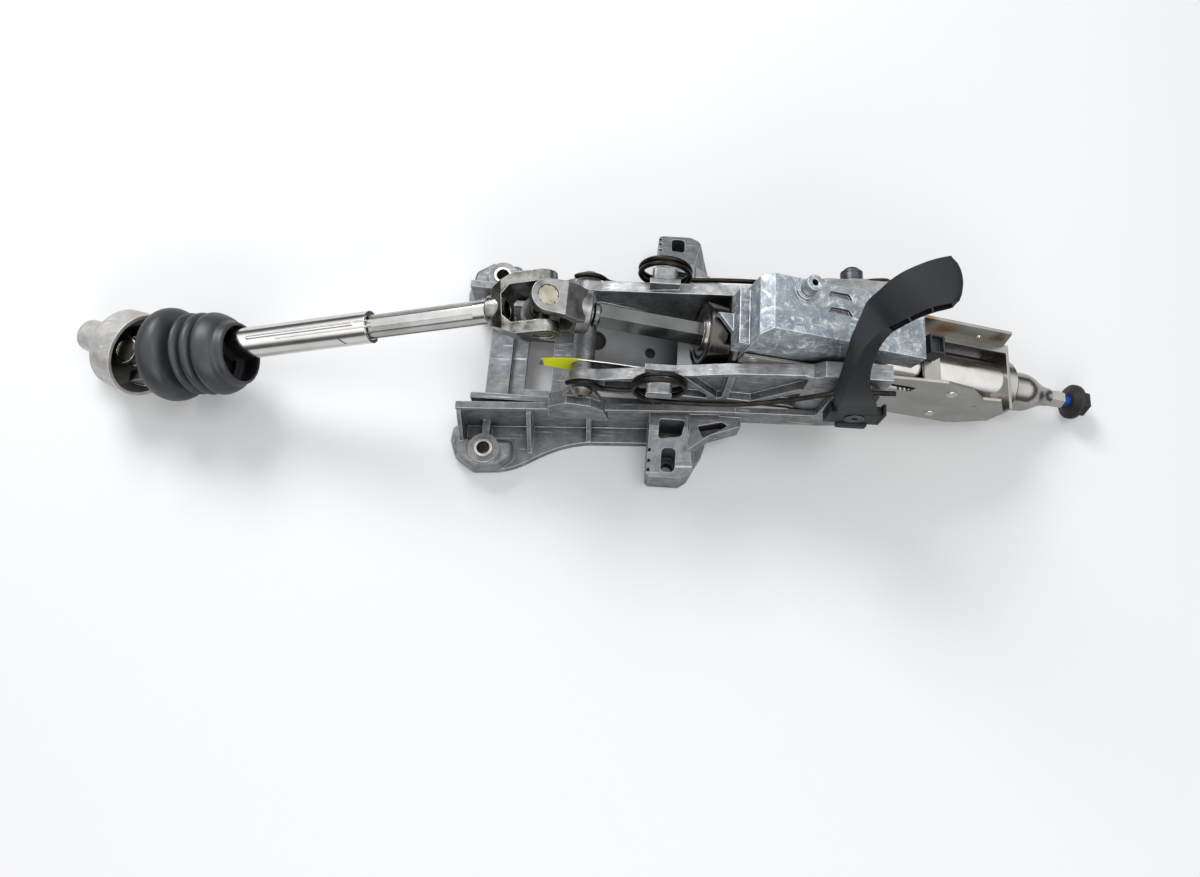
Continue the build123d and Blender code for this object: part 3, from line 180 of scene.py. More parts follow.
def coat(piece, material):
    """Gives a piece this material alone."""
    piece.data.materials.clear()
    piece.data.materials.append(material)


def finish_with(node_name, material):
    """Gives a carried-over piece its finish."""
    coat(nodes[node_name], material)


def new_finish(name):
    """A material with its tree, shader and object coordinates."""
    material = bpy.data.materials.new(name)
    material.use_nodes = True
    tree = material.node_tree
    place = add(tree, "ShaderNodeTexCoord").outputs["Object"]
    return material, tree, tree.nodes["Principled BSDF"], place


def noise(tree, place, scale, detail, roughness=0.5, distortion=0.0):
    """Noise over the place, round about 0.5."""
    inputs = {"Vector": place, "Scale": scale, "Detail": detail, "Roughness": roughness, "Distortion": distortion}
    return add(tree, "ShaderNodeTexNoise", inputs).outputs["Fac"]


def remap(tree, value, low, high, to_low=0.0, to_high=1.0):
    """The range from low to high stretched over the new range, and held at its ends."""
    inputs = {"Value": value, "From Min": low, "From Max": high, "To Min": to_low, "To Max": to_high}
    return add(tree, "ShaderNodeMapRange", inputs).outputs[0]


def blend(tree, amount, start, end):
    """Colour that goes from start to end by the amount."""
    return add(tree, "ShaderNodeMix", {0: amount, 6: start, 7: end}, data_type="RGBA").outputs[2]


def bump(tree, height, strength, distance, normal=None):
    """Normal with this relief on it."""
    inputs = {"Strength": strength, "Distance": distance, "Height": height}
    if normal:
        inputs["Normal"] = normal
    return add(tree, "ShaderNodeBump", inputs).outputs[0]


def soft_normal(tree, radius):
    """Normal that rounds every edge by the radius."""
    return add(tree, "ShaderNodeBevel", {"Radius": radius}, samples=EDGE_SAMPLES).outputs[0]


def rubbed_edges(tree, soft):
    """Mask of the edges that stand proud, from how far the rounded normal leaves the true one."""
    true = add(tree, "ShaderNodeNewGeometry").outputs["True Normal"]
    agree = add(tree, "ShaderNodeVectorMath", {0: soft, 1: true}, operation="DOT_PRODUCT").outputs["Value"]
    return remap(tree, agree, RUBBED_FROM, RUBBED_TO)


def cast_aluminium(name, tone, dark, rubbed, bloom=None, stain=None, painted_recess_shade="#2b2d30", roughness=0.46, metallic=0.6):
    """Die-cast aluminium: mottled skin, painted shade that darkens the recesses, scuffs, and edges rubbed bright by
    handling.
    """
    material, tree, shader, place = new_finish(name)
    mottle = noise(tree, place, scale=95.0, detail=9.0, roughness=0.74)
    colour = blend(tree, remap(tree, mottle, 0.34, 0.66), shade(dark), shade(tone))
    if bloom:
        salt = noise(tree, place, scale=85.0, detail=8.0, roughness=0.75, distortion=1.5)
        colour = blend(tree, remap(tree, salt, 0.5, 0.66, to_high=0.85), colour, shade(bloom))
    if stain:
        blotch = noise(tree, place, scale=26.0, detail=5.0, distortion=1.2)
        colour = blend(tree, remap(tree, blotch, 0.52, 0.66, to_high=0.6), colour, shade(stain))
    scratched = add(tree, "ShaderNodeMapping", {"Vector": place, "Rotation": (0.3, 0.2, 0.5),
                                                "Scale": (30.0, 420.0, 420.0)}).outputs[0]
    scuffs = noise(tree, scratched, scale=1.0, detail=4.0)
    colour = blend(tree, remap(tree, scuffs, 0.62, 0.72, to_high=0.5), colour, shade(rubbed))
    # Painted shade: occlusion darkens the recesses and the gaps between parts towards the shade colour.
    recess_shade_mask = add(tree, "ShaderNodeAmbientOcclusion", {"Distance": 0.012}, samples=EDGE_SAMPLES).outputs["AO"]
    colour = blend(tree, remap(tree, recess_shade_mask, 0.75, 0.25, to_high=0.8), colour, shade(painted_recess_shade))
    soft = soft_normal(tree, radius=0.0011)
    chips = noise(tree, place, scale=240.0, detail=4.0, roughness=0.7)
    worn = maths(tree, "MULTIPLY", rubbed_edges(tree, soft), chips)
    colour = blend(tree, maths(tree, "MULTIPLY", worn, 1.8, clamp=True), colour, shade(rubbed))
    gloss = remap(tree, mottle, 0.3, 0.7, roughness + 0.1, roughness - 0.12)
    pits = bump(tree, noise(tree, place, scale=900.0, detail=3.0), strength=0.4, distance=0.0004, normal=soft)
    wave = bump(tree, mottle, strength=0.45, distance=0.0014, normal=pits)
    feed(tree, shader, {"Base Color": colour, "Roughness": gloss, "Normal": wave, "Metallic": metallic})
    return material


finish_with("main_bracket", cast_aluminium("bracket_casting", "#85878a", "#585c5f", "#eaeaea", metallic=0.42))


# Sleeves, pivot screws and bushes
# Steel sleeves line the front bolt bosses. Dark zinc star-headed shoulder screws carry the arms.

def plain_steel(name, tone, roughness, metallic=1.0, grain=0.0006, depth=0.00008, dark=None, edge=None):
    """Bare or oxide-coated steel with a fine random tooth and slightly uneven tone."""
    material, tree, shader, place = new_finish(name)
    patch = remap(tree, noise(tree, place, scale=90.0, detail=4.0), 0.38, 0.62)
    skin = blend(tree, patch, shade(dark or tone), shade(tone))
    soft = soft_normal(tree, radius=0.0008)
    shine = maths(tree, "MULTIPLY", rubbed_edges(tree, soft), 0.7)
    colour = blend(tree, shine, skin, shade(edge or tone))
    tooth = bump(tree, noise(tree, place, scale=1 / grain, detail=3.0), strength=0.5, distance=depth, normal=soft)
    feed(tree, shader, {"Base Color": colour, "Normal": tooth, "Roughness": roughness, "Metallic": metallic})
    return material


sleeve_steel = plain_steel("turned_sleeve_steel", "#a9a59d", 0.32, dark="#7f7b73")
black_oxide = plain_steel("black_oxide_steel", "#2b2b2d", 0.42, metallic=0.6, dark="#1d1d1f")
finish_with("mount_sleeves", sleeve_steel)
finish_with("pivot_bushes", sleeve_steel)
finish_with("pivot_screws", plain_steel("dark_zinc_screw", "#8a8780", 0.35, dark="#55524c"))


# Tilt arms
# A second die-casting: two ribbed arms that swing about the screws, joined by a tube and a bridge.

finish_with("tilt_bracket", cast_aluminium("arm_casting", "#989a9c", "#626466", "#f2f2f2", roughness=0.4))


# Balance springs
# Torsion springs coiled from 4 mm drawn wire, oiled dark brown-black, each hung round a post of an arm.
# The front leg arches over the pivot eye. The rear leg lies along the arm and hooks in behind its clamp block.

WIRE_R = 0.002
COIL_AT = (0.143, 0.049, 0.112)
COIL_R = 0.020
COIL_PITCH = 0.0046
COIL_TURNS = 2
TURN_STEPS = 24
# The legs are points from the coil outwards, in metres, for the side away from the lever.
FRONT_LEG = ((0.120, 0.0462, 0.0920), (0.104, 0.0466, 0.0925), (0.097, 0.0466, 0.0950), (0.0935, 0.0466, 0.1010),
             (0.088, 0.0466, 0.1052), (0.080, 0.0466, 0.1055), (0.074, 0.0466, 0.1040), (0.071, 0.0466, 0.1010))
NEAR_REAR_LEG = ((0.158, 0.0536, 0.0915), (0.185, 0.0536, 0.0920), (0.210, 0.0536, 0.0965), (0.236, 0.0530, 0.1065),
                 (0.258, 0.0514, 0.1160), (0.276, 0.0498, 0.1245), (0.296, 0.0493, 0.1275), (0.3185, 0.0493, 0.1290))
FAR_REAR_LEG = ((0.158, 0.0536, 0.0925), (0.185, 0.0536, 0.0960), (0.212, 0.0532, 0.0985), (0.240, 0.0520, 0.0998),
                (0.262, 0.0505, 0.1045), (0.282, 0.0493, 0.1112), (0.300, 0.0493, 0.1172), (0.3160, 0.0493, 0.1215),
                (0.3190, 0.0470, 0.1225), (0.3190, 0.0420, 0.1225))

spring_wire = plain_steel("oiled_spring_wire", "#2b2723", 0.36, metallic=0.9, dark="#151312", edge="#463f36")


def alone(piece):
    """Leaves only this piece selected and active."""
    bpy.ops.object.select_all(action="DESELECT")
    piece.select_set(True)
    bpy.context.view_layer.objects.active = piece


def wire_along(name, path, radius, rounding, smooth=False):
    """Solid round wire along the points of a path, which a smooth wire follows in curves."""
    line = bpy.data.curves.new(name, "CURVE")
    line.dimensions = "3D"
    spline = line.splines.new("NURBS" if smooth else "POLY")
    spline.points.add(len(path) - 1)
    for point, place in zip(spline.points, path):
        point.co = (*place, 1.0)
    if smooth:
        spline.order_u = 3
        spline.use_endpoint_u = True
        line.resolution_u = 6
    line.bevel_depth = radius
    line.bevel_resolution = rounding
    line.use_fill_caps = True
    wire = new_object(name, line)
    alone(wire)
    bpy.ops.object.convert(target="MESH")
    bpy.ops.object.shade_smooth()
    return wire


def coiled_spring(name, side, rear_leg):
    """One spring as a bent wire: front leg, two turns, rear leg. side is -1 near the lever and 1 away from it."""
    turns = []
    for step in range(1, COIL_TURNS * TURN_STEPS):
        turn = 2 * math.pi * step / TURN_STEPS
        turns.append((COIL_AT[0] + COIL_R * math.sin(turn), COIL_AT[1] + COIL_PITCH * (step / TURN_STEPS - 1),
                      COIL_AT[2] - COIL_R * math.cos(turn)))
    path = [(x, side * y, z) for x, y, z in [*FRONT_LEG[::-1], *turns, *rear_leg]]
    wire = wire_along(name, path, WIRE_R, rounding=3, smooth=True)
    coat(wire, spring_wire)
    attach(wire, "tilt")
    return wire


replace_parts(coiled_spring("near_coiled_spring", -1, NEAR_REAR_LEG), "near_spring")
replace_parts(coiled_spring("far_coiled_spring", 1, FAR_REAR_LEG), "far_spring")
finish_with("lock_spring", spring_wire)


# Floor plate
# Pressed steel sheet under the joint. A dished black disc sits in each of its two holes as painted shade, for the dark
# space behind them.

# Each hole: distance along the column, distance across and radius, in millimetres.
PLATE_HOLES = ((56.0, 2.0, 8.3), (103.0, -1.0, 4.3))
SHADE_DISC_N = -52.6
SHADE_DISC_HEIGHT = 0.0022
SHADE_DISC_RIM = 0.0012
SHADE_DISC_SLOPE = 0.0006
SHADE_DISC_DISH = 0.0012
SHADE_DISC_SMOOTH = 0.6
HEAT_CORE = 0.3
COLUMN_PITCH = math.radians(15.25)
joint_list = {joint["name"]: joint for joint in frame["joints"]}
joint_at = Vector(joint_list["fork_swing"]["pos_m"])


def pressed_sheet(name, tone, dark, roughness=0.34, tint="#86603c", tinted_places=()):
    """Cold-rolled steel sheet: faint rolling lines, oil film, heat tint round its welds."""
    material, tree, shader, place = new_finish(name)
    stretched = add(tree, "ShaderNodeMapping", {"Vector": place, "Scale": (6.0, 120.0, 120.0)}).outputs[0]
    lines = noise(tree, stretched, scale=9.0, detail=4.0)
    cloud = noise(tree, place, scale=30.0, detail=5.0, distortion=0.6)
    colour = blend(tree, cloud, shade(dark), shade(tone))
    for spot, reach in tinted_places:
        away = add(tree, "ShaderNodeVectorMath", {0: place, 1: spot}, operation="DISTANCE").outputs["Value"]
        heat = remap(tree, away, reach, reach * HEAT_CORE, to_high=1.1)
        uneven = maths(tree, "MULTIPLY", heat, cloud)
        colour = blend(tree, maths(tree, "MULTIPLY", uneven, 1.6, clamp=True), colour, shade(tint))
    relief = bump(tree, lines, strength=0.25, distance=0.0001, normal=soft_normal(tree, radius=0.0005))
    gloss = remap(tree, lines, 0.0, 1.0, roughness - 0.1, roughness + 0.12)
    feed(tree, shader, {"Base Color": colour, "Normal": relief, "Roughness": gloss, "Metallic": 0.95})
    return material


def on_column(s, y, n):
    """Point in metres from millimetres along, across and above the column's line."""
    return joint_at + Vector((s * math.cos(COLUMN_PITCH) + n * math.sin(COLUMN_PITCH), y,
                              n * math.cos(COLUMN_PITCH) - s * math.sin(COLUMN_PITCH))) / 1000


def bake():
    """Applies the active piece's own place, turn and scale to its mesh."""
    bpy.ops.object.transform_apply(location=True, rotation=True, scale=True)


def inset_faces(piece, wanted, *steps):
    """Insets the faces of these numbers together, in steps of a thickness and a depth."""
    bpy.ops.object.mode_set(mode="EDIT")
    bpy.ops.mesh.select_mode(type="FACE")
    bpy.ops.mesh.select_all(action="DESELECT")
    bpy.ops.object.mode_set(mode="OBJECT")
    for number in wanted:
        piece.data.polygons[number].select = True
    bpy.ops.object.mode_set(mode="EDIT")
    for thickness, depth in steps:
        bpy.ops.mesh.inset(thickness=thickness, depth=depth)
    bpy.ops.object.mode_set(mode="OBJECT")


def top_face(piece):
    """Number of the face that looks up most."""
    return max(piece.data.polygons, key=lambda face: face.normal.z).index


finish_with("floor_plate", pressed_sheet("plate_sheet", "#747678", "#4c4e50"))
# Painted shade: near-black matt discs fill the plate's two holes.
painted_hole_shade, tree, shader, place = new_finish("painted_hole_shade")
grain = noise(tree, place, scale=900.0, detail=2.0)
feed(tree, shader, {"Base Color": shade("#101012"), "Roughness": remap(tree, grain, 0.0, 1.0, 0.5, 0.85)})

for number, (s_at, y_at, disc_r) in enumerate(PLATE_HOLES, 1):
    bpy.ops.mesh.primitive_cylinder_add(vertices=32, radius=disc_r / 1000, depth=SHADE_DISC_HEIGHT,
                                        rotation=(0, COLUMN_PITCH, 0), location=on_column(s_at, y_at, SHADE_DISC_N))
    hole_shade_disc = bpy.context.object
    hole_shade_disc.name = f"plate_hole_shade_{number}"
    bake()
    inset_faces(hole_shade_disc, [top_face(hole_shade_disc)], (SHADE_DISC_RIM, 0), (SHADE_DISC_SLOPE, -SHADE_DISC_DISH))
    bpy.ops.object.shade_smooth_by_angle(angle=SHADE_DISC_SMOOTH)
    coat(hole_shade_disc, painted_hole_shade)
    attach(hole_shade_disc, "tilt")


# Crash strip
# A strip of bright spring steel, 1.2 mm thick, that stands on edge beside the plate and tears in a crash.
# Its front end is brushed over with yellow marking paint.

STRIP_Y = -27.2
STRIP_T = 0.0012
STRIP_EDGE = 0.00025
# Each station: distance along the column, lower and upper edge, in millimetres.
STRIP_STATIONS = ((9.5, -48.0, -40.5), (11.0, -51.0, -37.5), (22.0, -51.0, -32.0), (34.0, -51.0, -27.8),
                  (62.0, -50.8, -24.6), (92.0, -50.8, -22.6), (116.0, -50.8, -22.0))
PAINT = "#dfe41f"
PAINT_FRONT = (0.0495, 0.0515)
PAINT_REAR = (0.104, 0.096)
BRISTLE_REACH = 0.04


def soften(piece, width, segments, above=30.0):
    """Rounds the edges of the active piece that are sharper than an angle in degrees."""
    edge = piece.modifiers.new("soft_edge", "BEVEL")
    edge.width = width
    edge.segments = segments
    edge.limit_method = "ANGLE"
    edge.angle_limit = math.radians(above)
    bpy.ops.object.modifier_apply(modifier="soft_edge")


def face_outward():
    """Turns all faces of the active piece outward."""
    bpy.ops.object.mode_set(mode="EDIT")
    bpy.ops.mesh.select_all(action="SELECT")
    bpy.ops.mesh.normals_make_consistent(inside=False)
    bpy.ops.object.mode_set(mode="OBJECT")


bpy.ops.mesh.primitive_grid_add(x_subdivisions=len(STRIP_STATIONS) - 1, y_subdivisions=1, size=1)
strip = bpy.context.object
strip.name = "painted_crash_strip"
columns = sorted({round(vertex.co.x, 4) for vertex in strip.data.vertices})
for vertex in strip.data.vertices:
    s_at, low, high = STRIP_STATIONS[columns.index(round(vertex.co.x, 4))]
    vertex.co = on_column(s_at, STRIP_Y, high if vertex.co.y > 0 else low)
wall = strip.modifiers.new("sheet", "SOLIDIFY")
wall.thickness = STRIP_T
wall.offset = 0
bpy.ops.object.modifier_apply(modifier="sheet")
soften(strip, STRIP_EDGE, 2)
face_outward()

strip_sheet = pressed_sheet("painted_strip_sheet", "#dcdcda", "#aaaaa8", roughness=0.22)
tree = strip_sheet.node_tree
shader = tree.nodes["Principled BSDF"]
bare = shader.inputs["Base Color"].links[0].from_socket
bare_metallic = shader.inputs["Metallic"].default_value
place = add(tree, "ShaderNodeTexCoord").outputs["Object"]
along = add(tree, "ShaderNodeSeparateXYZ", {"Vector": place}).outputs["X"]
brushed = add(tree, "ShaderNodeMapping", {"Vector": place, "Scale": (40.0, 900.0, 900.0)}).outputs[0]
bristles = noise(tree, brushed, scale=1.0, detail=3.0)
ragged = maths(tree, "MULTIPLY_ADD", bristles, BRISTLE_REACH, along)
painted = maths(tree, "MULTIPLY", remap(tree, ragged, *PAINT_REAR), remap(tree, along, *PAINT_FRONT))
feed(tree, shader, {"Base Color": blend(tree, painted, bare, shade(PAINT)),
                    "Metallic": remap(tree, painted, 0.0, 1.0, bare_metallic, 0.0)})
coat(strip, strip_sheet)
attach(strip, "tilt")
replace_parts(strip, "crash_strip")


# Jacket
# Drawn tube with a pressed U-channel, riveted and welded, and a turned collar at the wheel end.
# A black box sits in the channel's window as painted shade, standing in for the dark depth of the channel there.

# Each weld: centre and reach of its heat tint.
WELDS = (((0.372, 0.026, 0.090), 0.015), ((0.4175, 0.026, 0.078), 0.010), ((0.355, 0.026, 0.107), 0.009))
# Each rivet: centre, radius and how far its head is flattened.
RIVETS = ((0.3776, -0.0284, 0.0836, 0.0047, 0.35), (0.3776, 0.0284, 0.0836, 0.0047, 0.35),
          (0.3749, -0.0284, 0.0393, 0.0047, 0.35), (0.3749, 0.0284, 0.0393, 0.0047, 0.35),
          (0.2115, -0.0284, 0.1263, 0.0042, 0.06))
DIMPLE_R = 0.45
DIMPLE_DEPTH = 0.2 / 0.38
SHADE_BOX_AT = (0.3615, 0.0085, 0.0905)
SHADE_BOX_SIZE = (0.0135, 0.016, 0.016)
SHADE_BOX_WALL = 0.0018
SHADE_BOX_DEPTH = 0.005
SHADE_BOX_EDGE = 0.0005
column_way = joint_list["reach"]["axis"]


def turned_steel(name, tone, dark, axis, pitch=0.0008, roughness=0.3, drawn=False):
    """Turned steel with rings round the axis from the tool, or drawn steel with lines along it from the die."""
    material, tree, shader, place = new_finish(name)
    if drawn:
        turn = Vector(axis).rotation_difference(Vector((1, 0, 0))).to_euler()
        upright = add(tree, "ShaderNodeMapping", {"Vector": place, "Rotation": tuple(turn)}).outputs[0]
        stretched = add(tree, "ShaderNodeMapping", {"Vector": upright, "Scale": (0.03, 1.0, 1.0)}).outputs[0]
        marks = noise(tree, stretched, scale=1 / pitch, detail=3.0)
    else:
        way = add(tree, "ShaderNodeVectorMath", {0: place, 1: tuple(axis)}, operation="DOT_PRODUCT").outputs["Value"]
        marks = add(tree, "ShaderNodeTexNoise", {"W": way, "Scale": 1 / pitch, "Detail": 3.0},
                    noise_dimensions="1D").outputs["Fac"]
    cloud = noise(tree, place, scale=45.0, detail=4.0)
    relief = bump(tree, marks, strength=0.3, distance=0.00008, normal=soft_normal(tree, radius=0.0005))
    gloss = remap(tree, marks, 0.0, 1.0, roughness - 0.08, roughness + 0.1)
    feed(tree, shader, {"Base Color": blend(tree, cloud, shade(dark), shade(tone)), "Normal": relief,
                        "Roughness": gloss, "Metallic": 1.0})
    return material


def joined(pieces, name):
    """Joins the pieces into one of this name."""
    alone(pieces[0])
    for piece in pieces[1:]:
        piece.select_set(True)
    bpy.ops.object.join()
    pieces[0].name = name
    return pieces[0]


finish_with("jacket_tube", turned_steel("drawn_jacket_tube", "#c9c8c5", "#96938d", column_way, roughness=0.14,
                                        drawn=True))
finish_with("jacket_bracket", pressed_sheet("channel_sheet", "#b0aea9", "#7c7a75", roughness=0.3,
                                            tinted_places=WELDS))
heads = []
for x, y, z, rivet_r, flatness in RIVETS:
    bpy.ops.mesh.primitive_uv_sphere_add(segments=28, ring_count=14, radius=rivet_r, location=(x, y, z),
                                         rotation=(math.pi / 2, 0, 0))
    bake()
    head = bpy.context.object
    for vertex in head.data.vertices:
        dimple = max(1 - math.hypot(vertex.co.x - x, vertex.co.z - z) / (rivet_r * DIMPLE_R), 0)
        sunk = math.copysign(DIMPLE_DEPTH * rivet_r * dimple, y)
        vertex.co.y = y + (vertex.co.y - y - sunk) * flatness
    heads.append(head)
domed_rivets = joined(heads, "domed_rivets")
bpy.ops.object.shade_smooth()
coat(domed_rivets, plain_steel("rivet_steel", "#d6d5d2", 0.14, dark="#a5a39f"))
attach(domed_rivets, "jacket")
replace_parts(domed_rivets, "jacket_rivets")

# A near-black box in the channel's window, as painted shade.
bpy.ops.mesh.primitive_cube_add(size=1, location=SHADE_BOX_AT, rotation=(0, COLUMN_PITCH, 0), scale=SHADE_BOX_SIZE)
window_shade_box = bpy.context.object
window_shade_box.name = "window_shade_block"
bake()
inset_faces(window_shade_box, [top_face(window_shade_box)], (SHADE_BOX_WALL, 0), (0, -SHADE_BOX_DEPTH))
soften(window_shade_box, SHADE_BOX_EDGE, 2)
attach(window_shade_box, "jacket")
finish_with("end_plate", pressed_sheet("plate_steel", "#7b7771", "#4d4943"))
finish_with("bearing_housing", turned_steel("housing_steel", "#66635f", "#2f2d2b", column_way, pitch=0.002,
                                            roughness=0.16))
finish_with("collar", turned_steel("collar_steel", "#b6b4b0", "#84817c", column_way, pitch=0.001, roughness=0.2))


# Bearings
# Ground rings and balls, with a rubber-faced seal at the open end.

ground_steel = turned_steel("ground_bearing_steel", "#dcdddd", "#aeafaf", column_way, pitch=0.0004, roughness=0.12)
for name in ("lower_bearing_outer", "lower_bearing_inner", "lower_bearing_balls", "upper_bearing_outer",
             "upper_bearing_inner", "upper_bearing_balls"):
    finish_with(name, ground_steel)


def moulded_rubber(name, tone, dust, roughness=0.62, grain=0.0012, dusty=(0.5, 0.72), gleam=0.5):
    """Moulded black rubber or plastic: matt, finely pebbled, with grey scuffs and dust in patches."""
    material, tree, shader, place = new_finish(name)
    scuff = noise(tree, place, scale=60.0, detail=8.0, roughness=0.7)
    colour = blend(tree, remap(tree, scuff, *dusty, to_high=0.55), shade(tone), shade(dust))
    pebble = bump(tree, noise(tree, place, scale=1 / grain, detail=2.0), strength=0.3, distance=0.0002)
    feed(tree, shader, {"Base Color": colour, "Normal": pebble, "Roughness": roughness,
                        "Specular IOR Level": gleam})
    return material


finish_with("lower_bearing_seal", moulded_rubber("seal_rubber", "#1c1d1f", "#3a3b3d"))
# Painted shade: the box in the channel's window gets a near-black matt finish.
coat(window_shade_box, moulded_rubber("window_shade_black", "#1d1f21", "#303335", roughness=0.45))


# Spindle and wheel end
# Turned shaft with a cone and hexagon neck, a black dished washer and a black hexagon bolt.
# The bolt's shank has a band of blue thread-locking compound.

BAND_AT = 0.4695
BAND_EDGE = (0.0034, 0.0028)
BAND_BLUE = "#1f4fb4"

finish_with("spindle", turned_steel("spindle_steel", "#b4b1ac", "#7c7974", column_way, pitch=0.0012, roughness=0.18))
finish_with("lock_ring", sleeve_steel)
patched_bolt = plain_steel("patched_black_bolt", "#2b2b2d", 0.38, metallic=0.6, dark="#1b1b1d", edge="#6d6d6d")
tree = patched_bolt.node_tree
shader = tree.nodes["Principled BSDF"]
oxide = shader.inputs["Base Color"].links[0].from_socket
place = add(tree, "ShaderNodeTexCoord").outputs["Object"]
from_joint = add(tree, "ShaderNodeVectorMath", {0: place, 1: joint_at}, operation="SUBTRACT").outputs[0]
reach = add(tree, "ShaderNodeVectorMath", {0: from_joint, 1: tuple(column_way)}, operation="DOT_PRODUCT")
off_band = maths(tree, "ABSOLUTE", maths(tree, "SUBTRACT", reach.outputs["Value"], BAND_AT))
feed(tree, shader, {"Base Color": blend(tree, remap(tree, off_band, *BAND_EDGE), oxide, shade(BAND_BLUE))})
finish_with("wheel_bolt", patched_bolt)
finish_with("bolt_disc", plain_steel("washer_black", "#1e1e20", 0.5, metallic=0.2, dark="#161618"))


# Lock housing
# Smooth light die-casting, bluish, saddled on the jacket, with its sprung bolt inside.

finish_with("lock_housing", cast_aluminium("lock_casting", "#99a2a8", "#69737b", "#f4f6f7", bloom="#e6e9eb",
                                           roughness=0.38))
finish_with("lock_bolt", sleeve_steel)


# Sliding shaft and upper joint
# Drawn hexagon bar, a shot-blasted dark yoke, a warm forged fork, and needle cups staked in both.
# Staking leaves eight dents round each cup, in a black ring whose black is painted shade of the gap round the cup.

CAP_FACE = 0.023
STAKE_RING_R = 0.0081
STAKE_WIRE_R = 0.0005
STAKES = 8
STAKE_DEPTH = 0.0011
STAKE_SHARPNESS = 8
STAKED = (("column_yoke_stakes_and_gap_shade", "upper_cross_swing", "sliding_shaft"), ("fork_stakes_and_gap_shade", "fork_swing", "fork"))

finish_with("slider_shaft", turned_steel("drawn_hexagon", "#6f7070", "#3f3f3e", column_way, roughness=0.24,
                                         drawn=True))
finish_with("column_yoke", plain_steel("blasted_forging", "#838382", 0.36, grain=0.0009, depth=0.0003,
                                       dark="#575756", edge="#dededc"))
warm_forging = plain_steel("warm_forging", "#8b8a85", 0.22, grain=0.0012, depth=0.0003, dark="#45433f",
                           edge="#f0efec")
for name in ("fork", "tube_yoke", "cup_yoke"):
    finish_with(name, warm_forging)
cup_steel = plain_steel("needle_cup_steel", "#908c7e", 0.3, dark="#6c695b", edge="#3c3a34")
for name in ("column_yoke_caps", "fork_caps", "tube_yoke_caps", "cup_yoke_caps"):
    finish_with(name, cup_steel)
cross_steel = plain_steel("cross_steel", "#5e5c57", 0.4, dark="#3b3936")
for name in ("upper_cross", "lower_cross"):
    finish_with(name, cross_steel)


def shaded_stake_ring(pin, sign):
    """The dented black ring round the needle cup at one end of a pin: dents from staking, black as painted shade of
    the gap.
    """
    face = joint_at + pin * sign * CAP_FACE
    upright = Vector((0, 0, 1)).rotation_difference(pin * sign).to_euler()
    bpy.ops.mesh.primitive_torus_add(location=face, rotation=upright, major_segments=64, minor_segments=8,
                                     major_radius=STAKE_RING_R, minor_radius=STAKE_WIRE_R)
    bake()
    ring = bpy.context.object
    across = pin.orthogonal().normalized()
    for vertex in ring.data.vertices:
        arm = vertex.co - face
        flat = arm - pin * arm.dot(pin)
        turn = math.atan2(flat.dot(across), flat.dot(pin.cross(across)))
        pinch = max(math.cos(turn * STAKES), 0) ** STAKE_SHARPNESS
        vertex.co -= flat.normalized() * STAKE_DEPTH * pinch
    return ring


for name, swing, body in STAKED:
    pin = Vector(joint_list[swing]["axis"]).normalized()
    stakes_and_gap_shade = joined([shaded_stake_ring(pin, sign) for sign in (-1, 1)], name)
    bpy.ops.object.shade_smooth()
    # Painted shade: the black finish on the ring stands in for the shaded gap round the cup.
    coat(stakes_and_gap_shade, black_oxide)
    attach(stakes_and_gap_shade, body)


# Lower shaft
# A fluted bar slides in a drawn tube with a pressed bead and a short cut beside it; the cut is a black line on the
# skin, as painted shade of its opening.
# Lines on the tube are points of distance from the joint and arc length aside, in millimetres.

TUBE_R = 13.0
BEAD_START = 141.5
BEAD_BEND = 190.0
BEAD_END = 222.0
BEAD_HALF = 2.5
BEAD_STEPS = 12
BEAD_LEAN = 0.22
BEAD_WIRE_R = 0.0006
SLIT = ((169.0, 11.5), (167.0, 14.5), (164.8, 18.5))
SLIT_WIRE_R = 0.0005
lower_way = joint_list["lower_shaft_slide"]["axis"]
away = Vector(lower_way).normalized()
tube_up = (Vector((0, 0, 1)) - away * away.z).normalized()
tube_side = tube_up.cross(away).normalized()

finish_with("inner_shaft", turned_steel("fluted_bar", "#c4c3c0", "#8b8985", lower_way, roughness=0.18, drawn=True))
tube_steel = turned_steel("drawn_outer_tube", "#dddcda", "#b6b4b0", lower_way, roughness=0.13, drawn=True)
finish_with("outer_tube", tube_steel)


def pressed_line(name, points, radius, lean, material):
    """A pressed or cut line on the outer tube's skin, turned round the tube by the lean."""
    path = []
    for reach, arc in points:
        swing = arc / TUBE_R + lean
        out = tube_up * math.cos(swing) + tube_side * math.sin(swing)
        path.append(joint_at + (away * reach + out * TUBE_R) / 1000)
    ridge = wire_along(name, path, radius, rounding=2)
    coat(ridge, material)
    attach(ridge, "lower_tube")


turns = [math.pi * step / BEAD_STEPS for step in range(BEAD_STEPS + 1)]
bead_end = [(BEAD_END + BEAD_HALF * math.sin(turn), BEAD_HALF * math.cos(turn)) for turn in turns]
bead_line = [(BEAD_START, BEAD_HALF), (BEAD_BEND, BEAD_HALF), *bead_end, (BEAD_BEND, -BEAD_HALF),
             (BEAD_START, -BEAD_HALF)]
pressed_line("tube_bead", bead_line, BEAD_WIRE_R, BEAD_LEAN, tube_steel)
# Painted shade: the black line stands in for the dark opening of the cut.
pressed_line("tube_slit", SLIT, SLIT_WIRE_R, 0.0, black_oxide)


# Rubber boot
# Moulded rubber bellows, loose round the tube and seated on it by an inner web, with one big roll at the cup end.
# It has slid to one side on the tube, so its mouth hangs against it. The rubber is matt, with grey scuffs.

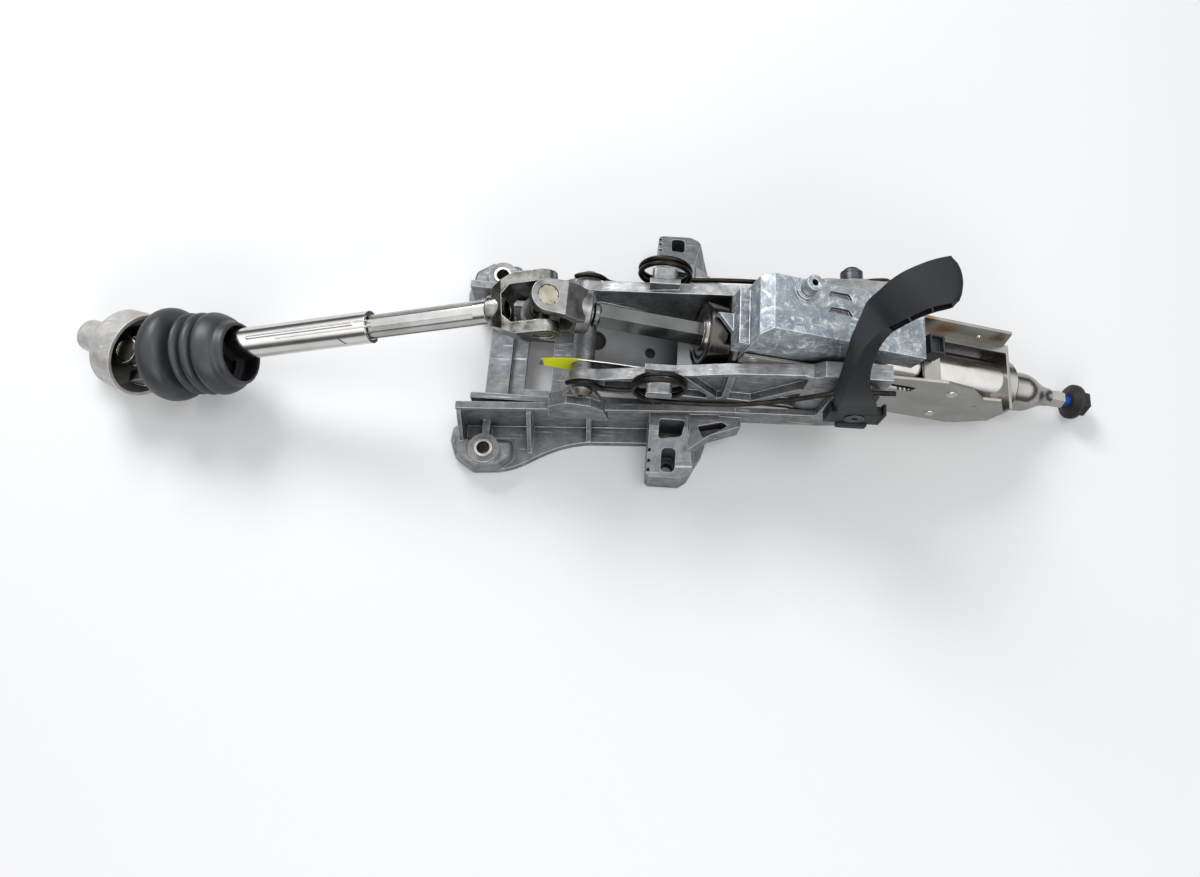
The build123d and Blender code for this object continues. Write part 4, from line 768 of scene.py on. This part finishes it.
# The section: distance from the joint and radius, in millimetres, as the lengths below are.
BELLOWS = (
    (264.1, 23.0), (263.0, 23.8), (263.1, 25.4), (264.6, 26.6), (268.1, 27.2), (270.6, 27.8), (271.3, 30.2),
    (275.2, 32.4), (279.6, 34.4), (283.1, 35.0), (285.6, 34.4), (287.0, 32.4), (287.7, 28.6), (288.4, 26.8),
    (289.1, 28.6), (290.0, 32.0), (291.9, 34.4), (294.5, 35.0), (297.0, 34.2), (298.2, 32.0), (299.0, 28.0),
    (299.7, 25.6), (300.5, 27.8), (301.6, 31.4), (303.4, 34.0), (305.5, 34.9), (307.2, 34.2), (308.1, 32.0),
    (308.6, 27.0), (309.8, 22.4), (312.0, 21.4), (314.0, 24.0), (315.4, 31.0), (317.4, 36.2), (321.0, 39.0),
    (326.0, 40.0), (331.6, 39.6), (336.0, 37.6), (339.0, 34.4), (340.2, 30.4), (339.8, 27.4), (338.4, 27.8),
    (337.2, 31.4), (334.4, 34.8), (330.4, 36.8), (325.6, 37.2), (321.2, 35.8), (318.6, 32.0), (316.8, 24.0),
    (314.4, 19.6), (309.6, 19.0), (306.9, 21.6), (306.4, 14.4), (305.5, 13.5), (304.4, 14.4), (304.2, 24.0),
    (302.3, 24.4), (299.7, 22.8), (297.0, 25.4), (295.4, 30.6), (292.8, 31.4), (291.0, 28.0), (288.4, 24.0),
    (285.7, 27.4), (284.0, 31.6), (279.9, 31.6), (275.0, 29.4), (269.9, 25.2), (266.2, 24.2),
)
SPIN_STEPS = 56
MOUTH_AT = 263.0
MOUTH_DROP = 8.2
ROLL_DROP = 1.8
DROP_SPAN = 62.0
SEAT_R = 14.0
LOOSE_SPAN = 9.0
ROLL_LEAN = 2.2
LEAN_FROM = 309.0
LEAN_SPAN = 30.0
SAG = 0.25
SEAM = 0.00005
near = Vector((0, -1, 0))
aside = ((near - away * near.dot(away)).normalized() - Vector((0, 0, SAG))).normalized()


def ramp(value, start, span):
    """0 up to the start, rising evenly to 1 over the span."""
    return min(max((value - start) / span, 0), 1)


section = bpy.data.meshes.new("rubber_bellows")
ring = [joint_at + away * (x / 1000) + aside * (r / 1000) for x, r in BELLOWS]
section.from_pydata(ring, [(k, (k + 1) % len(ring)) for k in range(len(ring))], [])
bellows = new_object("rubber_bellows", section)
alone(bellows)
bpy.ops.object.mode_set(mode="EDIT")
bpy.ops.mesh.select_all(action="SELECT")
bpy.ops.mesh.spin(steps=SPIN_STEPS, angle=2 * math.pi, center=joint_at, axis=away)
bpy.ops.mesh.select_all(action="SELECT")
bpy.ops.mesh.remove_doubles(threshold=SEAM)
bpy.ops.object.mode_set(mode="OBJECT")
face_outward()
for vertex in section.vertices:
    reach = (vertex.co - joint_at).dot(away) * 1000
    arm = vertex.co - joint_at - away * reach / 1000
    drop = MOUTH_DROP + (ROLL_DROP - MOUTH_DROP) * ramp(reach, MOUTH_AT, DROP_SPAN)
    loose = ramp(arm.length * 1000, SEAT_R, LOOSE_SPAN)
    lean = ROLL_LEAN * arm.normalized().dot(aside) * ramp(reach, LEAN_FROM, LEAN_SPAN)
    vertex.co += (aside * drop * loose + away * lean) / 1000
rounding = bellows.modifiers.new("rounding", "SUBSURF")
rounding.levels = 1
bpy.ops.object.modifier_apply(modifier="rounding")
bpy.ops.object.shade_smooth()
coat(bellows, moulded_rubber("boot_rubber", "#26282c", "#46494e", roughness=0.42, grain=0.0007, dusty=(0.5, 0.8)))
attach(bellows, "lower_tube")
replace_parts(bellows, "boot")


# Pinion cup
# Pale casting with brown stains, clamped on the pinion by a bolt.

# Its recesses take near-black painted shade.
finish_with("pinion_cup", cast_aluminium("cup_casting", "#cccbc9", "#a3a2a0", "#f2f2f1", stain="#a8998a",
                                         painted_recess_shade="#141416", metallic=0.45))
finish_with("pinch_bolt", black_oxide)
finish_with("pinch_nut", black_oxide)


# Clamp and lever
# A bolt through both cheeks, two toothed cam rings, and a moulded lever that turns on the bolt.
# The lever is modelled here: a twisted blade with three pockets in its flank, on a hub with side walls.

# Each station: outer edge of the skin, ridge to the flank, and the flank's lower edge, in millimetres.
LEVER_STATIONS = (
    ((275.8, -53.7, 111.0), (279.5, -62.2, 112.5), (309.7, -60.8, 112.0)),
    ((274.8, -53.8, 117.0), (278.4, -62.3, 119.0), (307.8, -60.3, 118.0)),
    ((272.7, -54.0, 127.0), (276.6, -62.5, 129.0), (304.7, -59.5, 128.0)),
    ((270.4, -54.0, 140.0), (274.9, -62.5, 142.0), (299.5, -59.5, 141.0)),
    ((269.6, -52.0, 151.0), (274.1, -60.5, 153.0), (294.0, -57.5, 152.0)),
    ((269.9, -47.0, 161.0), (274.5, -55.5, 163.0), (290.2, -52.5, 162.0)),
    ((270.6, -39.5, 171.0), (276.4, -48.5, 173.0), (289.6, -45.0, 171.0)),
    ((272.6, -28.5, 180.0), (281.0, -38.0, 181.0), (293.0, -35.0, 176.0)),
    ((277.0, -16.5, 185.5), (288.0, -29.5, 185.0), (297.0, -28.5, 178.0)),
    ((281.1, -6.3, 190.0), (294.6, -24.8, 189.0), (301.0, -24.3, 181.0)),
    ((287.2, -1.1, 198.0), (300.3, -23.6, 197.0), (305.4, -23.1, 188.0)),
    ((294.0, 4.3, 205.0), (307.0, -22.0, 203.5), (311.8, -20.8, 195.0)),
    ((301.3, 8.3, 210.0), (313.0, -19.9, 208.5), (317.5, -19.4, 200.0)),
    ((311.4, 12.8, 213.0), (319.6, -18.0, 212.0), (323.6, -18.2, 204.0)),
    ((321.7, 16.7, 214.5), (325.6, -17.0, 214.0), (329.0, -17.4, 206.5)),
    ((331.6, 19.6, 214.5), (331.4, -15.7, 214.5), (333.6, -16.0, 207.5)),
)
LEVER_STEPS = 4
SKIN_STEPS = 8
FLANK_STEPS = 3
CROWN = 0.9
NOSE_FULLNESS = 0.6
# The nose: share of its reach, and thickness left there.
NOSE = ((0.3, 0.98), (0.6, 0.9), (0.82, 0.74), (1.0, 0.45))
NOSE_REACH = 7.4
# Each pocket of the flank: the ring where it starts and the one where it ends.
POCKETS = ((36, 43), (43, 51), (51, 60))
POCKET_WALL = 0.0007
POCKET_DEPTH = 0.0036
BLADE_EDGE = 0.0007
BLADE_SHARP = 38.0
BLADE_SMOOTH = math.radians(36)
# Each block of the hub: two corners about the bolt, in millimetres, and how far its edges are rounded.
HUB_BLOCKS = (
    ((-20.5, -60.9, -13.5), (20.5, -53.1, 9.0), 0.0016),
    ((-21.6, -61.5, -11.0), (-19.0, -52.3, 12.0), 0.0007),
    ((19.0, -61.5, -11.0), (21.6, -52.3, 12.0), 0.0007),
    ((-11.0, -63.2, -18.5), (13.0, -55.0, -10.5), 0.0016),
)
# Each bore of the hub: where it starts and ends across the column, and radius, in metres.
HUB_BORES = ((-0.080, -0.058, 0.0079), (-0.060, -0.050, 0.0042))
CLAMP_AT = Vector(joint_list["lever_swing"]["pos_m"])

for name in ("fixed_cam", "moving_cam"):
    finish_with(name, sleeve_steel)
for name in ("clamp_bolt", "clamp_nut", "clamp_spacer"):
    finish_with(name, plain_steel("phosphated_" + name, "#4e5155", 0.35, metallic=0.8, dark="#2b2d30",
                                  edge="#8f9296"))


def between(a, b, c, d, t):
    """Point on a smooth curve from b to c."""
    return 0.5 * (2 * b + (c - a) * t + (2 * a - 5 * b + 4 * c - d) * t * t + (3 * b - 3 * c + d - a) * t ** 3)


def lever_ring(outer, ridge, lower, nose=0.0, thick=1.0):
    """Cross-section of the blade: skin, flank, underside and back, with the skin slightly crowned."""
    back = outer + lower - ridge
    back.y = min(back.y, outer.y)
    crown = (outer - back).normalized() * CROWN
    ring = []
    for start, end, count, rise, u0, u1 in ((outer, ridge, SKIN_STEPS, 1, 0, 1), (ridge, lower, FLANK_STEPS, 0, 1, 1),
                                            (lower, back, SKIN_STEPS, 0, 1, 0), (back, outer, FLANK_STEPS, 0, 0, 0)):
        for k in range(count):
            part = k / count
            u = u0 + (u1 - u0) * part
            place = start.lerp(end, part) + crown * rise * 4 * part * (1 - part)
            if thick < 1:
                level = ((outer + back) * (1 - u) + (ridge + lower) * u) / 2
                place = level + (place - level) * thick
                place.x += NOSE_REACH * nose * (1 - (2 * u - 1) ** 2) ** NOSE_FULLNESS
            ring.append(place / 1000)
    return ring


def combine(body, tool, operation):
    """Joins a tool solid to the body or cuts it out, and removes the tool."""
    step = body.modifiers.new("step", "BOOLEAN")
    step.operation = operation
    step.solver = "EXACT"
    step.object = tool
    alone(body)
    bpy.ops.object.modifier_apply(modifier="step")
    bpy.data.objects.remove(tool, do_unlink=True)


def hub_block(low, high, corner_r):
    """One rounded block of the hub."""
    low, high = Vector(low) / 1000, Vector(high) / 1000
    centre = (low + high) / 2 + Vector((CLAMP_AT.x, 0, CLAMP_AT.z))
    bpy.ops.mesh.primitive_cube_add(size=1, location=centre, scale=high - low)
    bake()
    soften(bpy.context.object, corner_r, 3)
    return bpy.context.object


corners = [[Vector(corner) for corner in station] for station in LEVER_STATIONS]
last = len(corners) - 1
rings = []
for k in range(last):
    four = [corners[min(max(k + shift, 0), last)] for shift in (-1, 0, 1, 2)]
    for step in range(LEVER_STEPS):
        rings.append(lever_ring(*(between(*(station[c] for station in four), step / LEVER_STEPS) for c in range(3))))
rings.append(lever_ring(*corners[-1]))
for nose, thick in NOSE:
    rings.append(lever_ring(*corners[-1], nose, thick))
round_count = len(rings[0])
end_start = (len(rings) - 1) * round_count
faces = []
for start in range(0, end_start, round_count):
    for j in range(round_count):
        after = (j + 1) % round_count
        faces.append((start + j, start + after, start + round_count + after, start + round_count + j))
faces.append(tuple(range(round_count - 1, -1, -1)))
faces.append(tuple(range(end_start, end_start + round_count)))
blade_mesh = bpy.data.meshes.new("moulded_clamp_lever")
blade_mesh.from_pydata([place for ring in rings for place in ring], [], faces)
blade = new_object("moulded_clamp_lever", blade_mesh)
alone(blade)
face_outward()
for first, end in POCKETS:
    flank = [i * round_count + SKIN_STEPS + j for i in range(first, end) for j in range(FLANK_STEPS)]
    inset_faces(blade, flank, (POCKET_WALL, 0), (0, -POCKET_DEPTH))
soften(blade, BLADE_EDGE, 3, BLADE_SHARP)

hub, *lumps = [hub_block(*block) for block in HUB_BLOCKS]
for lump in lumps:
    combine(hub, lump, "UNION")
for y_low, y_high, bore_r in HUB_BORES:
    bpy.ops.mesh.primitive_cylinder_add(vertices=48, radius=bore_r, depth=y_high - y_low, rotation=(math.pi / 2, 0, 0),
                                        location=(CLAMP_AT.x, (y_low + y_high) / 2, CLAMP_AT.z))
    combine(hub, bpy.context.object, "DIFFERENCE")
joined([blade, hub], "moulded_clamp_lever")
bpy.ops.object.shade_smooth_by_angle(angle=BLADE_SMOOTH)
coat(blade, moulded_rubber("lever_moulding", "#1b1e22", "#2b2f34", roughness=0.5, grain=0.0008, dusty=(0.6, 0.8),
                           gleam=0.24))
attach(blade, "lever")
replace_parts(blade, "clamp_lever")


low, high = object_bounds()
